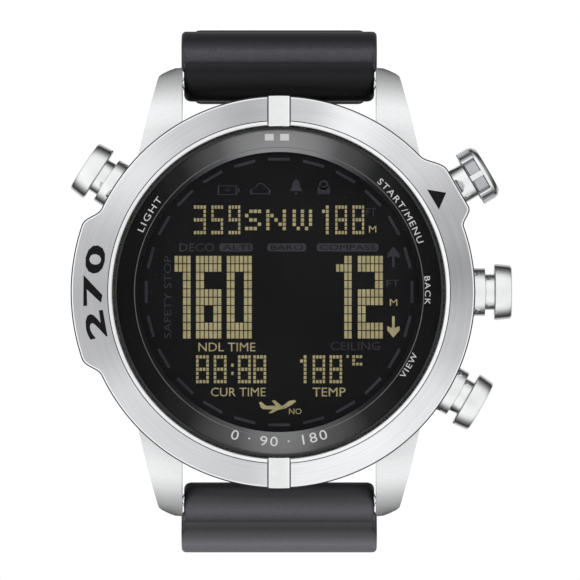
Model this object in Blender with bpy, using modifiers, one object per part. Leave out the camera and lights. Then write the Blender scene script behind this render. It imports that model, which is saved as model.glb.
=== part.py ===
"""A wrist dive computer: a steel case with four pushers and a sealed module, on an open two-part strap."""

import math

import bmesh
import bpy

MM = 0.001  # every size below is in millimetres

FIT = 0.1  # gap between two pieces that touch
RUN = 0.06  # radial gap round a piece that slides or turns
ROUND = 40  # steps round the case
SMALL = 16  # steps round a small turned piece

# Depths run forward from the back of the case; radii are from its centre line.
CASE_RADIUS = 23.3
CASE_WALL = 3.7
CASE_BACK = 1.0
CASE_EDGE = 0.3
BACK_RIM = 1.0
BACK_THICKNESS = 1.15
BACK_CROWN_RADIUS = 14.0
BACK_CROWN_HEIGHT = 0.95
BACK_CROWN_SLOPE = 1.2
BACK_SPIGOT_GAP = 0.9
BACK_SPIGOT_WALL = 1.5
BACK_SPIGOT_HEIGHT = 1.3
BACK_SCREW_INSET = 1.55
BACK_SCREW_ANGLES = (45, 135, 225, 315)
SCREW_HEAD_RADIUS = 1.1
SCREW_HEAD_HEIGHT = 0.5
SCREW_RADIUS = 0.7
SCREW_LENGTH = 3.0
SCREW_SLOT_WIDTH = 0.35

BEZEL_OVERHANG = 0.9
BEZEL_HEIGHT = 6.0
BEZEL_SEAT = 0.8
BEZEL_LIP_HEIGHT = 0.6
BEZEL_LIP_WIDTH = 1.1
BEZEL_EDGE = 0.3
BEZEL_NOTCH_WIDTH = 2.9
BEZEL_NOTCH_DEPTH = 0.5
LEFT_GUARD_RISE = 1.5
LEFT_GUARD_HALF_ANGLE = 19
LEFT_GUARD_FOOT_ANGLE = 25
RIGHT_GUARD_ANGLE = 30
RIGHT_GUARD_RISE = 1.35
RIGHT_GUARD_HALF_LENGTH = 2.75
RIGHT_GUARD_UPPER_FOOT = 14
RIGHT_GUARD_LOWER_FOOT = 10.3

GASKET_THICKNESS = 0.3
CRYSTAL_THICKNESS = 2.4
CRYSTAL_EDGE = 0.3
DIAL_RING_HEIGHT = 2.8
DIAL_RING_LIP = 0.55
LCD_MARGIN = 1.7
LCD_THICKNESS = 1.8
LCD_STAND = 0.6
LCD_RIM = 0.4
BACKLIGHT_THICKNESS = 0.9
BACKLIGHT_GAP = 0.5
MODULE_MARGIN = 0.7
MODULE_WALL = 1.6
MODULE_SLACK = 0.25
BOARD_MARGIN = 0.7
BOARD_THICKNESS = 0.8
ZEBRA_INSET = 1.4
ZEBRA_THICKNESS = 1.2
ZEBRA_HALF_LENGTH = 4.8
BATTERY_RADIUS = 10.0
BATTERY_THICKNESS = 3.2
BATTERY_Y = 4.5
CLIP_WIDTH = 3.0
CLIP_SHEET = 0.25
PIEZO_RADIUS = 6.0
PIEZO_THICKNESS = 0.5
SENSOR_Y = -12.0
SENSOR_RADIUS = 3.0
SENSOR_HEIGHT = 3.0
SENSOR_SEAL_RADIUS = 2.6
SENSOR_SEAL_WALL = 1.0
SENSOR_SEAL_HEIGHT = 0.7
PORT_RADIUS = 0.4
PORT_CIRCLE = 0.8
PORT_COUNT = 3
PORT_FIRST_ANGLE = 77
CHIP_SIZE = (5.0, 5.0, 1.0)
CHIP_PLACE = (-11.0, -7.5)
COMPASS_SIZE = (3.0, 3.0, 0.9)
COMPASS_PLACE = (11.0, -8.0)

LUG_GAP = 24.1
LUG_WIDTH = 5.2
LUG_FLARE = 1.2
LUG_PAST_BAR = 2.0
LUG_SHOULDER = ((0.25, 0.9), (-0.15, 2.8))  # (out from the lug's side, on from the case's edge)
LUG_TAPER = ((-1.0, 4.9), (-2.25, 1.1))  # (out from the lug's side, short of its end)
LUG_BELLY = ((1.9, 0.1), (-0.7, 0.7))  # (short of the bar, forward from the back)
LUG_END = (-0.8, 1.0)  # its flat end, forward from the bar
LUG_SLOPE_START = (1.0, 2.8)  # (past the bar, forward from it)
LUG_SLOPE = ((1.7, 1.6), (5.1, 0.0))  # (short of the bar, back from the front)
BAR_RISE = 3.0
BAR_RADIUS = 0.9
BAR_BORE_DEPTH = 4.6
TIP_RADIUS = 0.5
TIP_FLANGE_RADIUS = 0.8
TIP_FLANGE = 0.3
TIP_REACH = 1.1
TIP_INSIDE = 3.65
TIP_TRAVEL = 1.2

PUSHER_FORWARD = 0.6
PUSHER_ANGLES = {"light": 147.0, "start": 30.5, "back": 0.0, "view": -29.7}
PUSHER_TRAVEL = 1.0
TUBE_RADIUS = 2.5
TUBE_COLLAR_RADIUS = 3.0
TUBE_COLLAR_LENGTH = 2.2
TUBE_WELL_WALL = 0.6
STEM_RADIUS = 1.0
STEM_PAST_CLIP = 0.9
HUB_RADIUS = 2.25
HUB_INSIDE = 0.7
CAP_RADIUS = 3.525
CAP_END_RADIUS = 3.33
CAP_HEIGHT = 2.2
CROWN_GAP = 1.85
CROWN_HEIGHT = 2.6
CROWN_BARS = 8
CROWN_BAR_HEIGHT = 0.3
CROWN_BAR_SHARE = 0.26
CROWN_EDGE = 0.35
RETAINER_RADIUS = 1.8
RETAINER_THICKNESS = 0.35
RETAINER_GROOVE = 0.25
SEAL_WIDTH = 0.8
SEAL_THICKNESS = 0.9
SEAL_GROOVE_INSET = 0.8
SPRING_WIRE = 0.4
SPRING_RADIUS = 1.7
SPRING_TURNS = 3

STRAP_FLARE = 0.3
STRAP_END_WIDTH = 19.9
STRAP_SIDE_GAP = 0.2
STRAP_CASE_GAP = 0.4
STRAP_HALF_THICKNESS = 1.7
STRAP_BARREL_RADIUS = 2.2
STRAP_RIB_END = 8.5
STRAP_GROOVE = 2.05
STRAP_RIB_RISE = 0.7
STRAP_START_HEADING = 40.0
STRAP_CORNER = 0.55
STRAP_BEND = ((2.5, 0.0), (7.0, 50.0))
UPPER_RUNS = STRAP_BEND + ((12.0, 13.0), (2.5, 0.0), (12.0, -13.0), (41.5, 0.0))
LOWER_RUNS = STRAP_BEND + ((111.0, 0.0),)
HOLE_COUNT = 9
HOLE_PITCH = 6.0
HOLE_FIRST = 14.0
HOLE_LENGTH = 3.6
HOLE_WIDTH = 2.6

BUCKLE_BAR_RADIUS = 0.75
BUCKLE_ARM = 2.0
BUCKLE_SIDE_GAP = 0.25
BUCKLE_HALF_THICKNESS = 1.1
BUCKLE_WINDOW = 10.2
BUCKLE_FRONT_BAR = 2.4
BUCKLE_HEEL = 1.9
BUCKLE_BARREL_RADIUS = 1.8
TONGUE_WIDTH = 2.4
TONGUE_RADIUS = 1.5
TONGUE_THICKNESS = 1.0
TONGUE_SLOT = 4.5
KEEPER_WALL = 1.0
KEEPER_LENGTH = 5.0
KEEPER_HEADROOM = 0.3
KEEPER_SIDE_GAP = 0.4
KEEPER_FIXED_BACK = 12.0
KEEPER_SLIDING_BACK = 26.0

# What follows is worked out from the sizes above.
CAVITY_RADIUS = CASE_RADIUS - CASE_WALL
BACK_INSIDE = BACK_CROWN_HEIGHT + BACK_THICKNESS
BACK_LEDGE = BACK_INSIDE + FIT
BACK_RECESS_RADIUS = CASE_RADIUS - BACK_RIM
BACK_SPIGOT_RADIUS = CAVITY_RADIUS - BACK_SPIGOT_GAP
BACK_SCREW_CIRCLE = BACK_RECESS_RADIUS - BACK_SCREW_INSET

MODULE_BACK = BACK_INSIDE + BACK_SPIGOT_HEIGHT + FIT
MODULE_RADIUS = CAVITY_RADIUS - MODULE_MARGIN
CLIP_BACK = BACK_LEDGE + PIEZO_THICKNESS + MODULE_SLACK
BATTERY_BACK = CLIP_BACK + CLIP_SHEET + FIT
BOARD_BACK = BATTERY_BACK + BATTERY_THICKNESS + 3 * FIT
BOARD_RADIUS = MODULE_RADIUS - MODULE_WALL - BOARD_MARGIN
ZEBRA_OFFSET = BOARD_RADIUS - ZEBRA_INSET
MODULE_FRONT = BOARD_BACK + BOARD_THICKNESS + FIT + BACKLIGHT_GAP + BACKLIGHT_THICKNESS
LCD_RADIUS = CAVITY_RADIUS - LCD_MARGIN
LCD_BACK = MODULE_FRONT + FIT
LCD_FRONT = LCD_BACK + LCD_THICKNESS

CASE_FRONT = LCD_FRONT - LCD_STAND
BEZEL_BACK = CASE_FRONT + FIT
BEZEL_FRONT = BEZEL_BACK + BEZEL_HEIGHT
BEZEL_RADIUS = CASE_RADIUS + BEZEL_OVERHANG
BEZEL_OPENING = CAVITY_RADIUS + BEZEL_SEAT
LEFT_GUARD_RADIUS = BEZEL_RADIUS + LEFT_GUARD_RISE
RIGHT_GUARD_FLAT = BEZEL_RADIUS + RIGHT_GUARD_RISE
CRYSTAL_BACK = BEZEL_BACK + DIAL_RING_HEIGHT + FIT
CRYSTAL_FRONT = CRYSTAL_BACK + CRYSTAL_THICKNESS
CRYSTAL_RADIUS = BEZEL_OPENING - GASKET_THICKNESS - FIT

LUG_FACE = LUG_GAP / 2
BAR_OUT = CASE_RADIUS + STRAP_CASE_GAP + STRAP_BARREL_RADIUS
BAR_DEPTH = CASE_BACK + BAR_RISE
BAR_HALF_LENGTH = LUG_FACE - FIT - TIP_FLANGE - TIP_TRAVEL - FIT / 2
LUG_REACH = BAR_OUT + LUG_PAST_BAR
STRAP_WIDTH = LUG_GAP + STRAP_FLARE
BUCKLE_HALF_WIDTH = STRAP_END_WIDTH / 2 + BUCKLE_SIDE_GAP + BUCKLE_ARM

PUSHER_DEPTH = (CASE_BACK + CASE_FRONT) / 2 + PUSHER_FORWARD
TUBE_START = CAVITY_RADIUS + FIT / 2
TUBE_COLLAR_START = CASE_RADIUS + FIT
TUBE_END = TUBE_COLLAR_START + TUBE_COLLAR_LENGTH
SEAL_GROOVE_START = CAVITY_RADIUS + SEAL_GROOVE_INSET
SEAL_GROOVE_END = SEAL_GROOVE_START + SEAL_WIDTH + 2 * FIT
SEAL_GROOVE_RADIUS = STEM_RADIUS + SEAL_THICKNESS
TUBE_WELL_FLOOR = SEAL_GROOVE_END + TUBE_WELL_WALL
RETAINER_FRONT = TUBE_START - 1.5 * FIT
CAP_START = TUBE_END + PUSHER_TRAVEL + FIT


def clear_scene():
    for thing in list(bpy.data.objects):
        bpy.data.objects.remove(thing, do_unlink=True)


def new_collection(name, hidden=False):
    group = bpy.data.collections.new(name)
    bpy.context.scene.collection.children.link(group)
    group.hide_render = hidden
    return group


def new_material(name, color, roughness, metallic=0.0):
    made = bpy.data.materials.new(name)
    made.use_nodes = True
    shader = made.node_tree.nodes["Principled BSDF"]
    shader.inputs["Base Color"].default_value = (*color, 1.0)
    shader.inputs["Roughness"].default_value = roughness
    shader.inputs["Metallic"].default_value = metallic
    return made


clear_scene()
PARTS = new_collection("dive_computer")
CUTTERS = new_collection("cutters", hidden=True)

STEEL = new_material("brushed_steel", (0.60, 0.61, 0.63), 0.32, 1.0)
POLISHED = new_material("polished_steel", (0.72, 0.73, 0.75), 0.12, 1.0)
RUBBER = new_material("strap_silicone", (0.035, 0.036, 0.040), 0.62)
SEAL = new_material("seal_rubber", (0.02, 0.02, 0.02), 0.7)
GLASS = new_material("crystal_glass", (0.9, 0.93, 0.95), 0.03)
BLACK = new_material("black_plastic", (0.015, 0.015, 0.017), 0.45)
LCD = new_material("display_glass", (0.03, 0.03, 0.035), 0.1)
LIGHT_GUIDE = new_material("light_guide", (0.8, 0.8, 0.76), 0.4)
BOARD = new_material("circuit_board", (0.02, 0.16, 0.07), 0.5)
CHIP = new_material("chip_plastic", (0.03, 0.03, 0.03), 0.4)
BRASS = new_material("brass", (0.75, 0.58, 0.28), 0.3, 1.0)
CELL = new_material("battery_steel", (0.68, 0.68, 0.67), 0.25, 1.0)


def new_empty(name, location=(0, 0, 0), rotation=(0, 0, 0), parent=None):
    """An empty to hang pieces on: location in millimetres, rotation in degrees."""
    empty = bpy.data.objects.new(name, None)
    PARTS.objects.link(empty)
    empty.location = [MM * value for value in location]
    empty.rotation_euler = [math.radians(value) for value in rotation]
    empty.parent = parent
    return empty


def new_piece(name, bm, material, parent=None, location=(0, 0, 0), rotation=(0, 0, 0), cutter=False):
    """An object from a bmesh in millimetres."""
    bmesh.ops.scale(bm, vec=(MM, MM, MM), verts=bm.verts)
    mesh = bpy.data.meshes.new(name)
    bm.to_mesh(mesh)
    bm.free()
    piece = bpy.data.objects.new(name, mesh)
    (CUTTERS if cutter else PARTS).objects.link(piece)
    piece.parent = parent
    piece.location = [MM * value for value in location]
    piece.rotation_euler = [math.radians(value) for value in rotation]
    if cutter:
        piece.hide_render = True
        piece.display_type = "WIRE"
    elif material:
        mesh.materials.append(material)
    return piece


def turned(name, profile, material=None, closed=False, steps=ROUND, **place):
    """A solid turned about its own Z from (radius, height) points that run down its outer side."""
    bm = bmesh.new()
    corners = [bm.verts.new((radius, 0, height)) for radius, height in profile]
    for first, second in zip(corners, corners[1:]):
        bm.edges.new((first, second))
    if closed:
        bm.edges.new((corners[-1], corners[0]))
    piece = new_piece(name, bm, material, **place)
    screw = piece.modifiers.new("Turn", "SCREW")
    screw.steps = steps
    screw.render_steps = steps
    screw.use_merge_vertices = True
    screw.merge_threshold = 1e-6
    return piece


def prism_bmesh(outline, low, high):
    """A closed solid from an outline in XY, between two heights."""
    bm = bmesh.new()
    base = bm.faces.new([bm.verts.new((x, y, low)) for x, y in outline])
    raised = bmesh.ops.extrude_face_region(bm, geom=[base])["geom"]
    tops = [item for item in raised if isinstance(item, bmesh.types.BMVert)]
    bmesh.ops.translate(bm, vec=(0, 0, high - low), verts=tops)
    bmesh.ops.recalc_face_normals(bm, faces=bm.faces)
    return bm


def prism(name, outline, low, high, material=None, **place):
    return new_piece(name, prism_bmesh(outline, low, high), material, **place)


def box_bmesh(low, high):
    bm = bmesh.new()
    bmesh.ops.create_cube(bm, size=1.0)
    size = [b - a for a, b in zip(low, high)]
    middle = [(a + b) / 2 for a, b in zip(low, high)]
    bmesh.ops.scale(bm, vec=size, verts=bm.verts)
    bmesh.ops.translate(bm, vec=middle, verts=bm.verts)
    return bm


def box(name, low, high, material=None, **place):
    return new_piece(name, box_bmesh(low, high), material, **place)


def rod(name, radius, low, high, material=None, steps=SMALL, **place):
    """A plain cylinder along its own Z."""
    profile = [(0, high), (radius, high), (radius, low), (0, low)]
    return turned(name, profile, material, steps=steps, **place)


def shape_with(piece, tool, operation="DIFFERENCE"):
    modifier = piece.modifiers.new(tool.name, "BOOLEAN")
    modifier.operation = operation
    modifier.object = tool
    modifier.solver = "EXACT"


def rounded(piece, width, segments=1, angle=50):
    bevel = piece.modifiers.new("Edges", "BEVEL")
    bevel.width = MM * width
    bevel.segments = segments
    bevel.limit_method = "ANGLE"
    bevel.angle_limit = math.radians(angle)


def polar(radius, angle):
    return radius * math.cos(math.radians(angle)), radius * math.sin(math.radians(angle))


# The case frame's own Z runs forward through the crystal, and its Y up to 12 o'clock.
CASE = new_empty("case_frame", rotation=(90, 0, 0))


# An empty on each pusher's axis, with its own Z pointing away from the case's centre.
PUSHER_AXES = {
    name: new_empty(name + "_axis", (0, 0, PUSHER_DEPTH), (0, 90, angle), CASE) for name, angle in PUSHER_ANGLES.items()
}


def make_lugs():
    """The four lugs, as one solid to join to the case."""
    root = (BACK_RECESS_RADIUS + CASE_RADIUS) / 2
    outer_x = LUG_FACE + LUG_WIDTH
    first = math.degrees(math.acos(LUG_FACE / root))
    last = math.degrees(math.acos((outer_x + LUG_FLARE) / CASE_RADIUS))
    shoulder = math.sqrt(CASE_RADIUS**2 - outer_x**2)
    plan = [polar(root, first + (last - first) * step / 2) for step in range(3)]
    plan += [
        polar(CASE_RADIUS - CASE_EDGE / 2, last - 1),
        *((outer_x + x, shoulder + y) for x, y in LUG_SHOULDER),
        *((outer_x + x, LUG_REACH - y) for x, y in LUG_TAPER),
        (LUG_FACE, LUG_REACH),
    ]
    lugs = prism("lug_plan", plan, 0.0, CASE_FRONT + 1, parent=CASE, cutter=True)
    root_y = CASE_RADIUS / 2
    top = CASE_FRONT - CASE_EDGE / 2
    back = CASE_BACK + CASE_EDGE / 2
    past = LUG_REACH + 0.2
    side = [
        (root_y, back), *((BAR_OUT - y, back + z) for y, z in LUG_BELLY),
        *((past, BAR_DEPTH + z) for z in LUG_END),
        (BAR_OUT + LUG_SLOPE_START[0], BAR_DEPTH + LUG_SLOPE_START[1]),
        *((BAR_OUT - y, top - z) for y, z in LUG_SLOPE), (root_y, top),
    ]
    # turned so that the outline's X and Y become the case's Y and Z
    profile = prism("lug_side", side, 5.0, 25.0, rotation=(90, 0, 90), parent=CASE, cutter=True)
    shape_with(lugs, profile, "INTERSECT")
    mirror = lugs.modifiers.new("Four", "MIRROR")
    mirror.use_axis = (True, True, False)
    mirror.use_mirror_merge = False
    return lugs


def make_case():
    top = CASE_FRONT
    profile = [
        (CAVITY_RADIUS, top), (CASE_RADIUS - CASE_EDGE, top), (CASE_RADIUS, top - CASE_EDGE),
        (CASE_RADIUS, CASE_BACK + CASE_EDGE), (CASE_RADIUS - CASE_EDGE, CASE_BACK),
        (BACK_RECESS_RADIUS, CASE_BACK), (BACK_RECESS_RADIUS, BACK_LEDGE), (CAVITY_RADIUS, BACK_LEDGE),
    ]
    case = turned("case_body", profile, STEEL, closed=True, parent=CASE)
    shape_with(case, make_lugs(), "UNION")
    for name, axis in PUSHER_AXES.items():
        bore = rod(name + "_bore", TUBE_RADIUS + FIT, CAVITY_RADIUS - CASE_WALL, CASE_RADIUS + 2, parent=axis, cutter=True)
        shape_with(case, bore)
    for side, label in ((1, "upper"), (-1, "lower")):
        half = LUG_FACE + TIP_REACH + 2 * FIT
        place = {"location": (0, side * BAR_OUT, BAR_DEPTH), "rotation": (0, 90, 0), "parent": CASE}
        shape_with(case, rod(label + "_tip_hole", TIP_RADIUS + RUN, -half, half, steps=12, cutter=True, **place))
    for angle in BACK_SCREW_ANGLES:
        x, y = polar(BACK_SCREW_CIRCLE, angle)
        depth = BACK_CROWN_HEIGHT + SCREW_HEAD_HEIGHT + SCREW_LENGTH + 2 * FIT
        place = {"location": (x, y, 0), "parent": CASE, "steps": 12, "cutter": True}
        shape_with(case, rod(f"thread_{angle}", SCREW_RADIUS + RUN, 0.0, depth, **place))


def smooth(share):
    share = min(max(share, 0.0), 1.0)
    return share * share * (3 - 2 * share)


def bezel_radius(angle):
    """The bezel's outer edge at an angle in degrees from 3 o'clock: a circle with two guards."""
    left = abs((angle % 360) - 180)
    if left < LEFT_GUARD_FOOT_ANGLE:
        fall = (left - LEFT_GUARD_HALF_ANGLE) / (LEFT_GUARD_FOOT_ANGLE - LEFT_GUARD_HALF_ANGLE)
        return LEFT_GUARD_RADIUS + (BEZEL_RADIUS - LEFT_GUARD_RADIUS) * smooth(fall)
    off = (angle - RIGHT_GUARD_ANGLE + 180) % 360 - 180
    flat = math.degrees(math.atan2(RIGHT_GUARD_HALF_LENGTH, RIGHT_GUARD_FLAT))
    foot = RIGHT_GUARD_UPPER_FOOT if off > 0 else RIGHT_GUARD_LOWER_FOOT
    if abs(off) > foot:
        return BEZEL_RADIUS
    if abs(off) <= flat + 1e-6:
        return RIGHT_GUARD_FLAT / math.cos(math.radians(off))
    corner = math.hypot(RIGHT_GUARD_FLAT, RIGHT_GUARD_HALF_LENGTH)
    return corner + (BEZEL_RADIUS - corner) * smooth((abs(off) - flat) / (foot - flat))


def bezel_outline():
    flat = math.degrees(math.atan2(RIGHT_GUARD_HALF_LENGTH, RIGHT_GUARD_FLAT))
    angles = [360 / ROUND * step for step in range(ROUND)]
    span = LEFT_GUARD_FOOT_ANGLE - LEFT_GUARD_HALF_ANGLE
    for side in (-1, 1):
        angles += [180 + side * (LEFT_GUARD_HALF_ANGLE + span * part / 3) for part in range(4)]
    for side, foot in ((1, RIGHT_GUARD_UPPER_FOOT), (-1, RIGHT_GUARD_LOWER_FOOT)):
        angles += [RIGHT_GUARD_ANGLE + side * (flat + (foot - flat) * part / 3) for part in range(4)]
    kept = []
    for angle in sorted(angles):
        if not kept or angle - kept[-1] > 0.8:
            kept.append(angle)
    return [polar(bezel_radius(angle), angle) for angle in kept]


def make_bezel():
    bezel = prism("bezel", bezel_outline(), BEZEL_BACK, BEZEL_FRONT, STEEL, parent=CASE)
    rounded(bezel, BEZEL_EDGE)
    lip = BEZEL_FRONT - BEZEL_LIP_HEIGHT
    opening = [
        (0, BEZEL_FRONT + 1), (BEZEL_OPENING + BEZEL_LIP_WIDTH, BEZEL_FRONT + 1),
        (BEZEL_OPENING + BEZEL_LIP_WIDTH, BEZEL_FRONT), (BEZEL_OPENING, lip),
        (BEZEL_OPENING, BEZEL_BACK - 1), (0, BEZEL_BACK - 1),
    ]
    shape_with(bezel, turned("bezel_opening", opening, parent=CASE, cutter=True))
    half = BEZEL_NOTCH_WIDTH / 2
    for side in (1, -1):
        near, far = sorted((side * (BEZEL_OPENING - 1), side * (BEZEL_RADIUS + 1)))
        low = (-half, near, BEZEL_FRONT - BEZEL_NOTCH_DEPTH)
        notch = box(f"notch_{side + 1}", low, (half, far, BEZEL_FRONT + 1), parent=CASE, cutter=True)
        shape_with(bezel, notch)


def make_crystal():
    top = CRYSTAL_FRONT
    edge = CRYSTAL_EDGE
    profile = [
        (0, top), (CRYSTAL_RADIUS - edge, top), (CRYSTAL_RADIUS, top - edge),
        (CRYSTAL_RADIUS, CRYSTAL_BACK), (0, CRYSTAL_BACK),
    ]
    turned("crystal", profile, GLASS, parent=CASE)
    inner = CRYSTAL_RADIUS + FIT / 2
    outer = BEZEL_OPENING - FIT / 2
    high = CRYSTAL_FRONT - edge
    ring = [(inner, high), (outer, high), (outer, CRYSTAL_BACK), (inner, CRYSTAL_BACK)]
    turned("crystal_gasket", ring, SEAL, closed=True, parent=CASE)


def make_dial_ring():
    """The black conical ring between the crystal and the display."""
    outer = BEZEL_OPENING - 3 * FIT
    top = BEZEL_BACK + DIAL_RING_HEIGHT
    lip = LCD_FRONT + FIT
    profile = [
        (CRYSTAL_RADIUS, top), (outer, top), (outer, BEZEL_BACK), (LCD_RADIUS + LCD_RIM, BEZEL_BACK),
        (LCD_RADIUS + LCD_RIM, lip), (LCD_RADIUS - DIAL_RING_LIP, lip), (LCD_RADIUS - DIAL_RING_LIP, lip + FIT),
    ]
    turned("dial_ring", profile, BLACK, closed=True, parent=CASE)


def make_display():
    rod("lcd_panel", LCD_RADIUS, LCD_BACK, LCD_FRONT, LCD, steps=ROUND, parent=CASE)
    radius = MODULE_RADIUS - MODULE_WALL - FIT
    top = LCD_BACK - FIT
    place = {"steps": ROUND, "parent": CASE}
    light = rod("backlight_panel", radius, top - BACKLIGHT_THICKNESS, top, LIGHT_GUIDE, **place)
    flat = ZEBRA_OFFSET - ZEBRA_THICKNESS / 2 - 2 * FIT
    for side, label in ((1, "upper"), (-1, "lower")):
        near, far = sorted((side * flat, side * (radius + 1)))
        shape_with(light, box(label + "_flat", (-radius, near, 0), (radius, far, 15), parent=CASE, cutter=True))
        near, far = sorted(side * (ZEBRA_OFFSET + end * ZEBRA_THICKNESS / 2) for end in (-1, 1))
        low = (-ZEBRA_HALF_LENGTH, near, BOARD_BACK + BOARD_THICKNESS + FIT)
        box("zebra_strip_" + label, low, (ZEBRA_HALF_LENGTH, far, LCD_BACK - FIT), SEAL, parent=CASE)


def make_module():
    inner = MODULE_RADIUS - MODULE_WALL
    ring = [(inner, MODULE_FRONT), (MODULE_RADIUS, MODULE_FRONT), (MODULE_RADIUS, MODULE_BACK), (inner, MODULE_BACK)]
    frame = turned("module_frame", ring, BLACK, closed=True, parent=CASE)
    half = RETAINER_RADIUS + 4 * FIT
    low, high = (-half, -half, inner - MODULE_WALL), (half, half, MODULE_RADIUS + MODULE_WALL)
    for name, axis in PUSHER_AXES.items():
        shape_with(frame, box(name + "_gate", low, high, parent=axis, cutter=True))
    front = BOARD_BACK + BOARD_THICKNESS
    rod("main_board", BOARD_RADIUS, BOARD_BACK, front, BOARD, steps=ROUND, parent=CASE)
    for name, size, place in (("processor_chip", CHIP_SIZE, CHIP_PLACE), ("compass_sensor", COMPASS_SIZE, COMPASS_PLACE)):
        low = (place[0] - size[0] / 2, place[1] - size[1] / 2, BOARD_BACK - FIT - size[2])
        high = (place[0] + size[0] / 2, place[1] + size[1] / 2, BOARD_BACK - FIT)
        box(name, low, high, CHIP, parent=CASE)


def make_battery():
    low = BATTERY_BACK
    high = low + BATTERY_THICKNESS
    place = {"location": (0, BATTERY_Y, 0), "parent": CASE}
    rod("battery", BATTERY_RADIUS, low, high, CELL, steps=32, **place)
    inside = BATTERY_RADIUS + 2 * FIT
    outside = inside + CLIP_SHEET
    floor = CLIP_BACK + CLIP_SHEET
    foot = high + FIT
    outline = [
        (-outside, foot), (-outside, CLIP_BACK), (outside, CLIP_BACK), (outside, foot),
        (inside, foot), (inside, floor), (-inside, floor), (-inside, foot),
    ]
    # the outline's Y becomes the case's Z
    turn = {"location": (0, BATTERY_Y, 0), "rotation": (90, 0, 0), "parent": CASE}
    prism("battery_clip", outline, -CLIP_WIDTH / 2, CLIP_WIDTH / 2, BRASS, **turn)


def make_sensor():
    place = {"location": (0, SENSOR_Y, 0), "parent": CASE}
    seal_low = BACK_INSIDE + FIT
    seal_high = seal_low + SENSOR_SEAL_HEIGHT
    low = seal_high + FIT
    rod("pressure_sensor", SENSOR_RADIUS, low, low + SENSOR_HEIGHT, CELL, **place)
    inner = SENSOR_SEAL_RADIUS - SENSOR_SEAL_WALL
    ring = [(inner, seal_high), (SENSOR_SEAL_RADIUS, seal_high), (SENSOR_SEAL_RADIUS, seal_low), (inner, seal_low)]
    turned("pressure_sensor_seal", ring, SEAL, closed=True, steps=SMALL, **place)
    low = BACK_INSIDE + FIT
    place = {"location": (0, BATTERY_Y, 0), "parent": CASE}
    rod("piezo_buzzer", PIEZO_RADIUS, low, low + PIEZO_THICKNESS, BRASS, steps=24, **place)


def make_caseback():
    spigot_top = BACK_INSIDE + BACK_SPIGOT_HEIGHT
    spigot_inside = BACK_SPIGOT_RADIUS - BACK_SPIGOT_WALL
    profile = [
        (0, BACK_INSIDE), (spigot_inside, BACK_INSIDE), (spigot_inside, spigot_top),
        (BACK_SPIGOT_RADIUS, spigot_top), (BACK_SPIGOT_RADIUS, BACK_INSIDE),
        (BACK_RECESS_RADIUS - FIT, BACK_INSIDE), (BACK_RECESS_RADIUS - FIT, BACK_CROWN_HEIGHT),
        (BACK_CROWN_RADIUS + BACK_CROWN_SLOPE, BACK_CROWN_HEIGHT), (BACK_CROWN_RADIUS, 0), (0, 0),
    ]
    back = turned("caseback", profile, STEEL, parent=CASE)
    head = BACK_CROWN_HEIGHT + SCREW_HEAD_HEIGHT
    for index, angle in enumerate(BACK_SCREW_ANGLES):
        x, y = polar(BACK_SCREW_CIRCLE, angle)
        place = {"location": (x, y, 0), "parent": CASE}
        hole = [
            (0, BACK_INSIDE + 1), (SCREW_RADIUS + RUN, BACK_INSIDE + 1), (SCREW_RADIUS + RUN, head),
            (SCREW_HEAD_RADIUS + FIT, head), (SCREW_HEAD_RADIUS + FIT, 0), (0, 0),
        ]
        shape_with(back, turned(f"screw_hole_{index + 1}", hole, steps=12, cutter=True, **place))
        make_screw(f"caseback_screw_{index + 1}", place)
    for index in range(PORT_COUNT):
        x, y = polar(PORT_CIRCLE, PORT_FIRST_ANGLE + 360 / PORT_COUNT * index)
        place = {"location": (x, y + SENSOR_Y, 0), "parent": CASE}
        port = rod(f"port_{index + 1}", PORT_RADIUS, -1, BACK_INSIDE + 1, steps=8, cutter=True, **place)
        shape_with(back, port)
    low = BACK_LEDGE + FIT
    high = BACK_INSIDE + BACK_SPIGOT_HEIGHT - FIT
    inner = BACK_SPIGOT_RADIUS + FIT
    outer = CAVITY_RADIUS - FIT
    ring = [(inner, high), (outer, high), (outer, low), (inner, low)]
    turned("caseback_gasket", ring, SEAL, closed=True, parent=CASE)


def make_screw(name, place):
    low = BACK_CROWN_HEIGHT + FIT / 2
    shoulder = BACK_CROWN_HEIGHT + SCREW_HEAD_HEIGHT - FIT / 2
    end = BACK_CROWN_HEIGHT + SCREW_HEAD_HEIGHT + SCREW_LENGTH
    profile = [
        (0, end), (SCREW_RADIUS, end), (SCREW_RADIUS, shoulder), (SCREW_HEAD_RADIUS, shoulder),
        (SCREW_HEAD_RADIUS, low), (0, low),
    ]
    screw = turned(name, profile, POLISHED, steps=12, **place)
    half = SCREW_SLOT_WIDTH / 2
    reach = SCREW_HEAD_RADIUS + FIT
    slot = box(name + "_slot", (-half, -reach, 0), (half, reach, low + 0.2), cutter=True, **place)
    shape_with(screw, slot)


def button_profile(cap):
    """(radius, distance out) from the cap's outer face down to the stem's inner end; cap is its outer part."""
    groove_low = RETAINER_FRONT - RETAINER_THICKNESS - FIT / 2
    groove_high = RETAINER_FRONT + FIT / 2
    neck = STEM_RADIUS - RETAINER_GROOVE
    end = RETAINER_FRONT - RETAINER_THICKNESS - STEM_PAST_CLIP
    return cap + [
        (HUB_RADIUS, TUBE_END - HUB_INSIDE), (STEM_RADIUS, TUBE_END - HUB_INSIDE),
        (STEM_RADIUS, groove_high), (neck, groove_high), (neck, groove_low),
        (STEM_RADIUS, groove_low), (STEM_RADIUS, end), (0, end),
    ]


def make_plain_button(name, axis):
    far = CAP_START + CAP_HEIGHT
    cap = [
        (0, far), (CAP_END_RADIUS - 0.6, far - 0.05), (CAP_END_RADIUS, far - 0.4),
        (CAP_RADIUS, CAP_START + 0.2), (CAP_RADIUS - 0.15, CAP_START), (HUB_RADIUS, CAP_START),
    ]
    return turned(name, button_profile(cap), POLISHED, steps=20, parent=axis)


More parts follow.
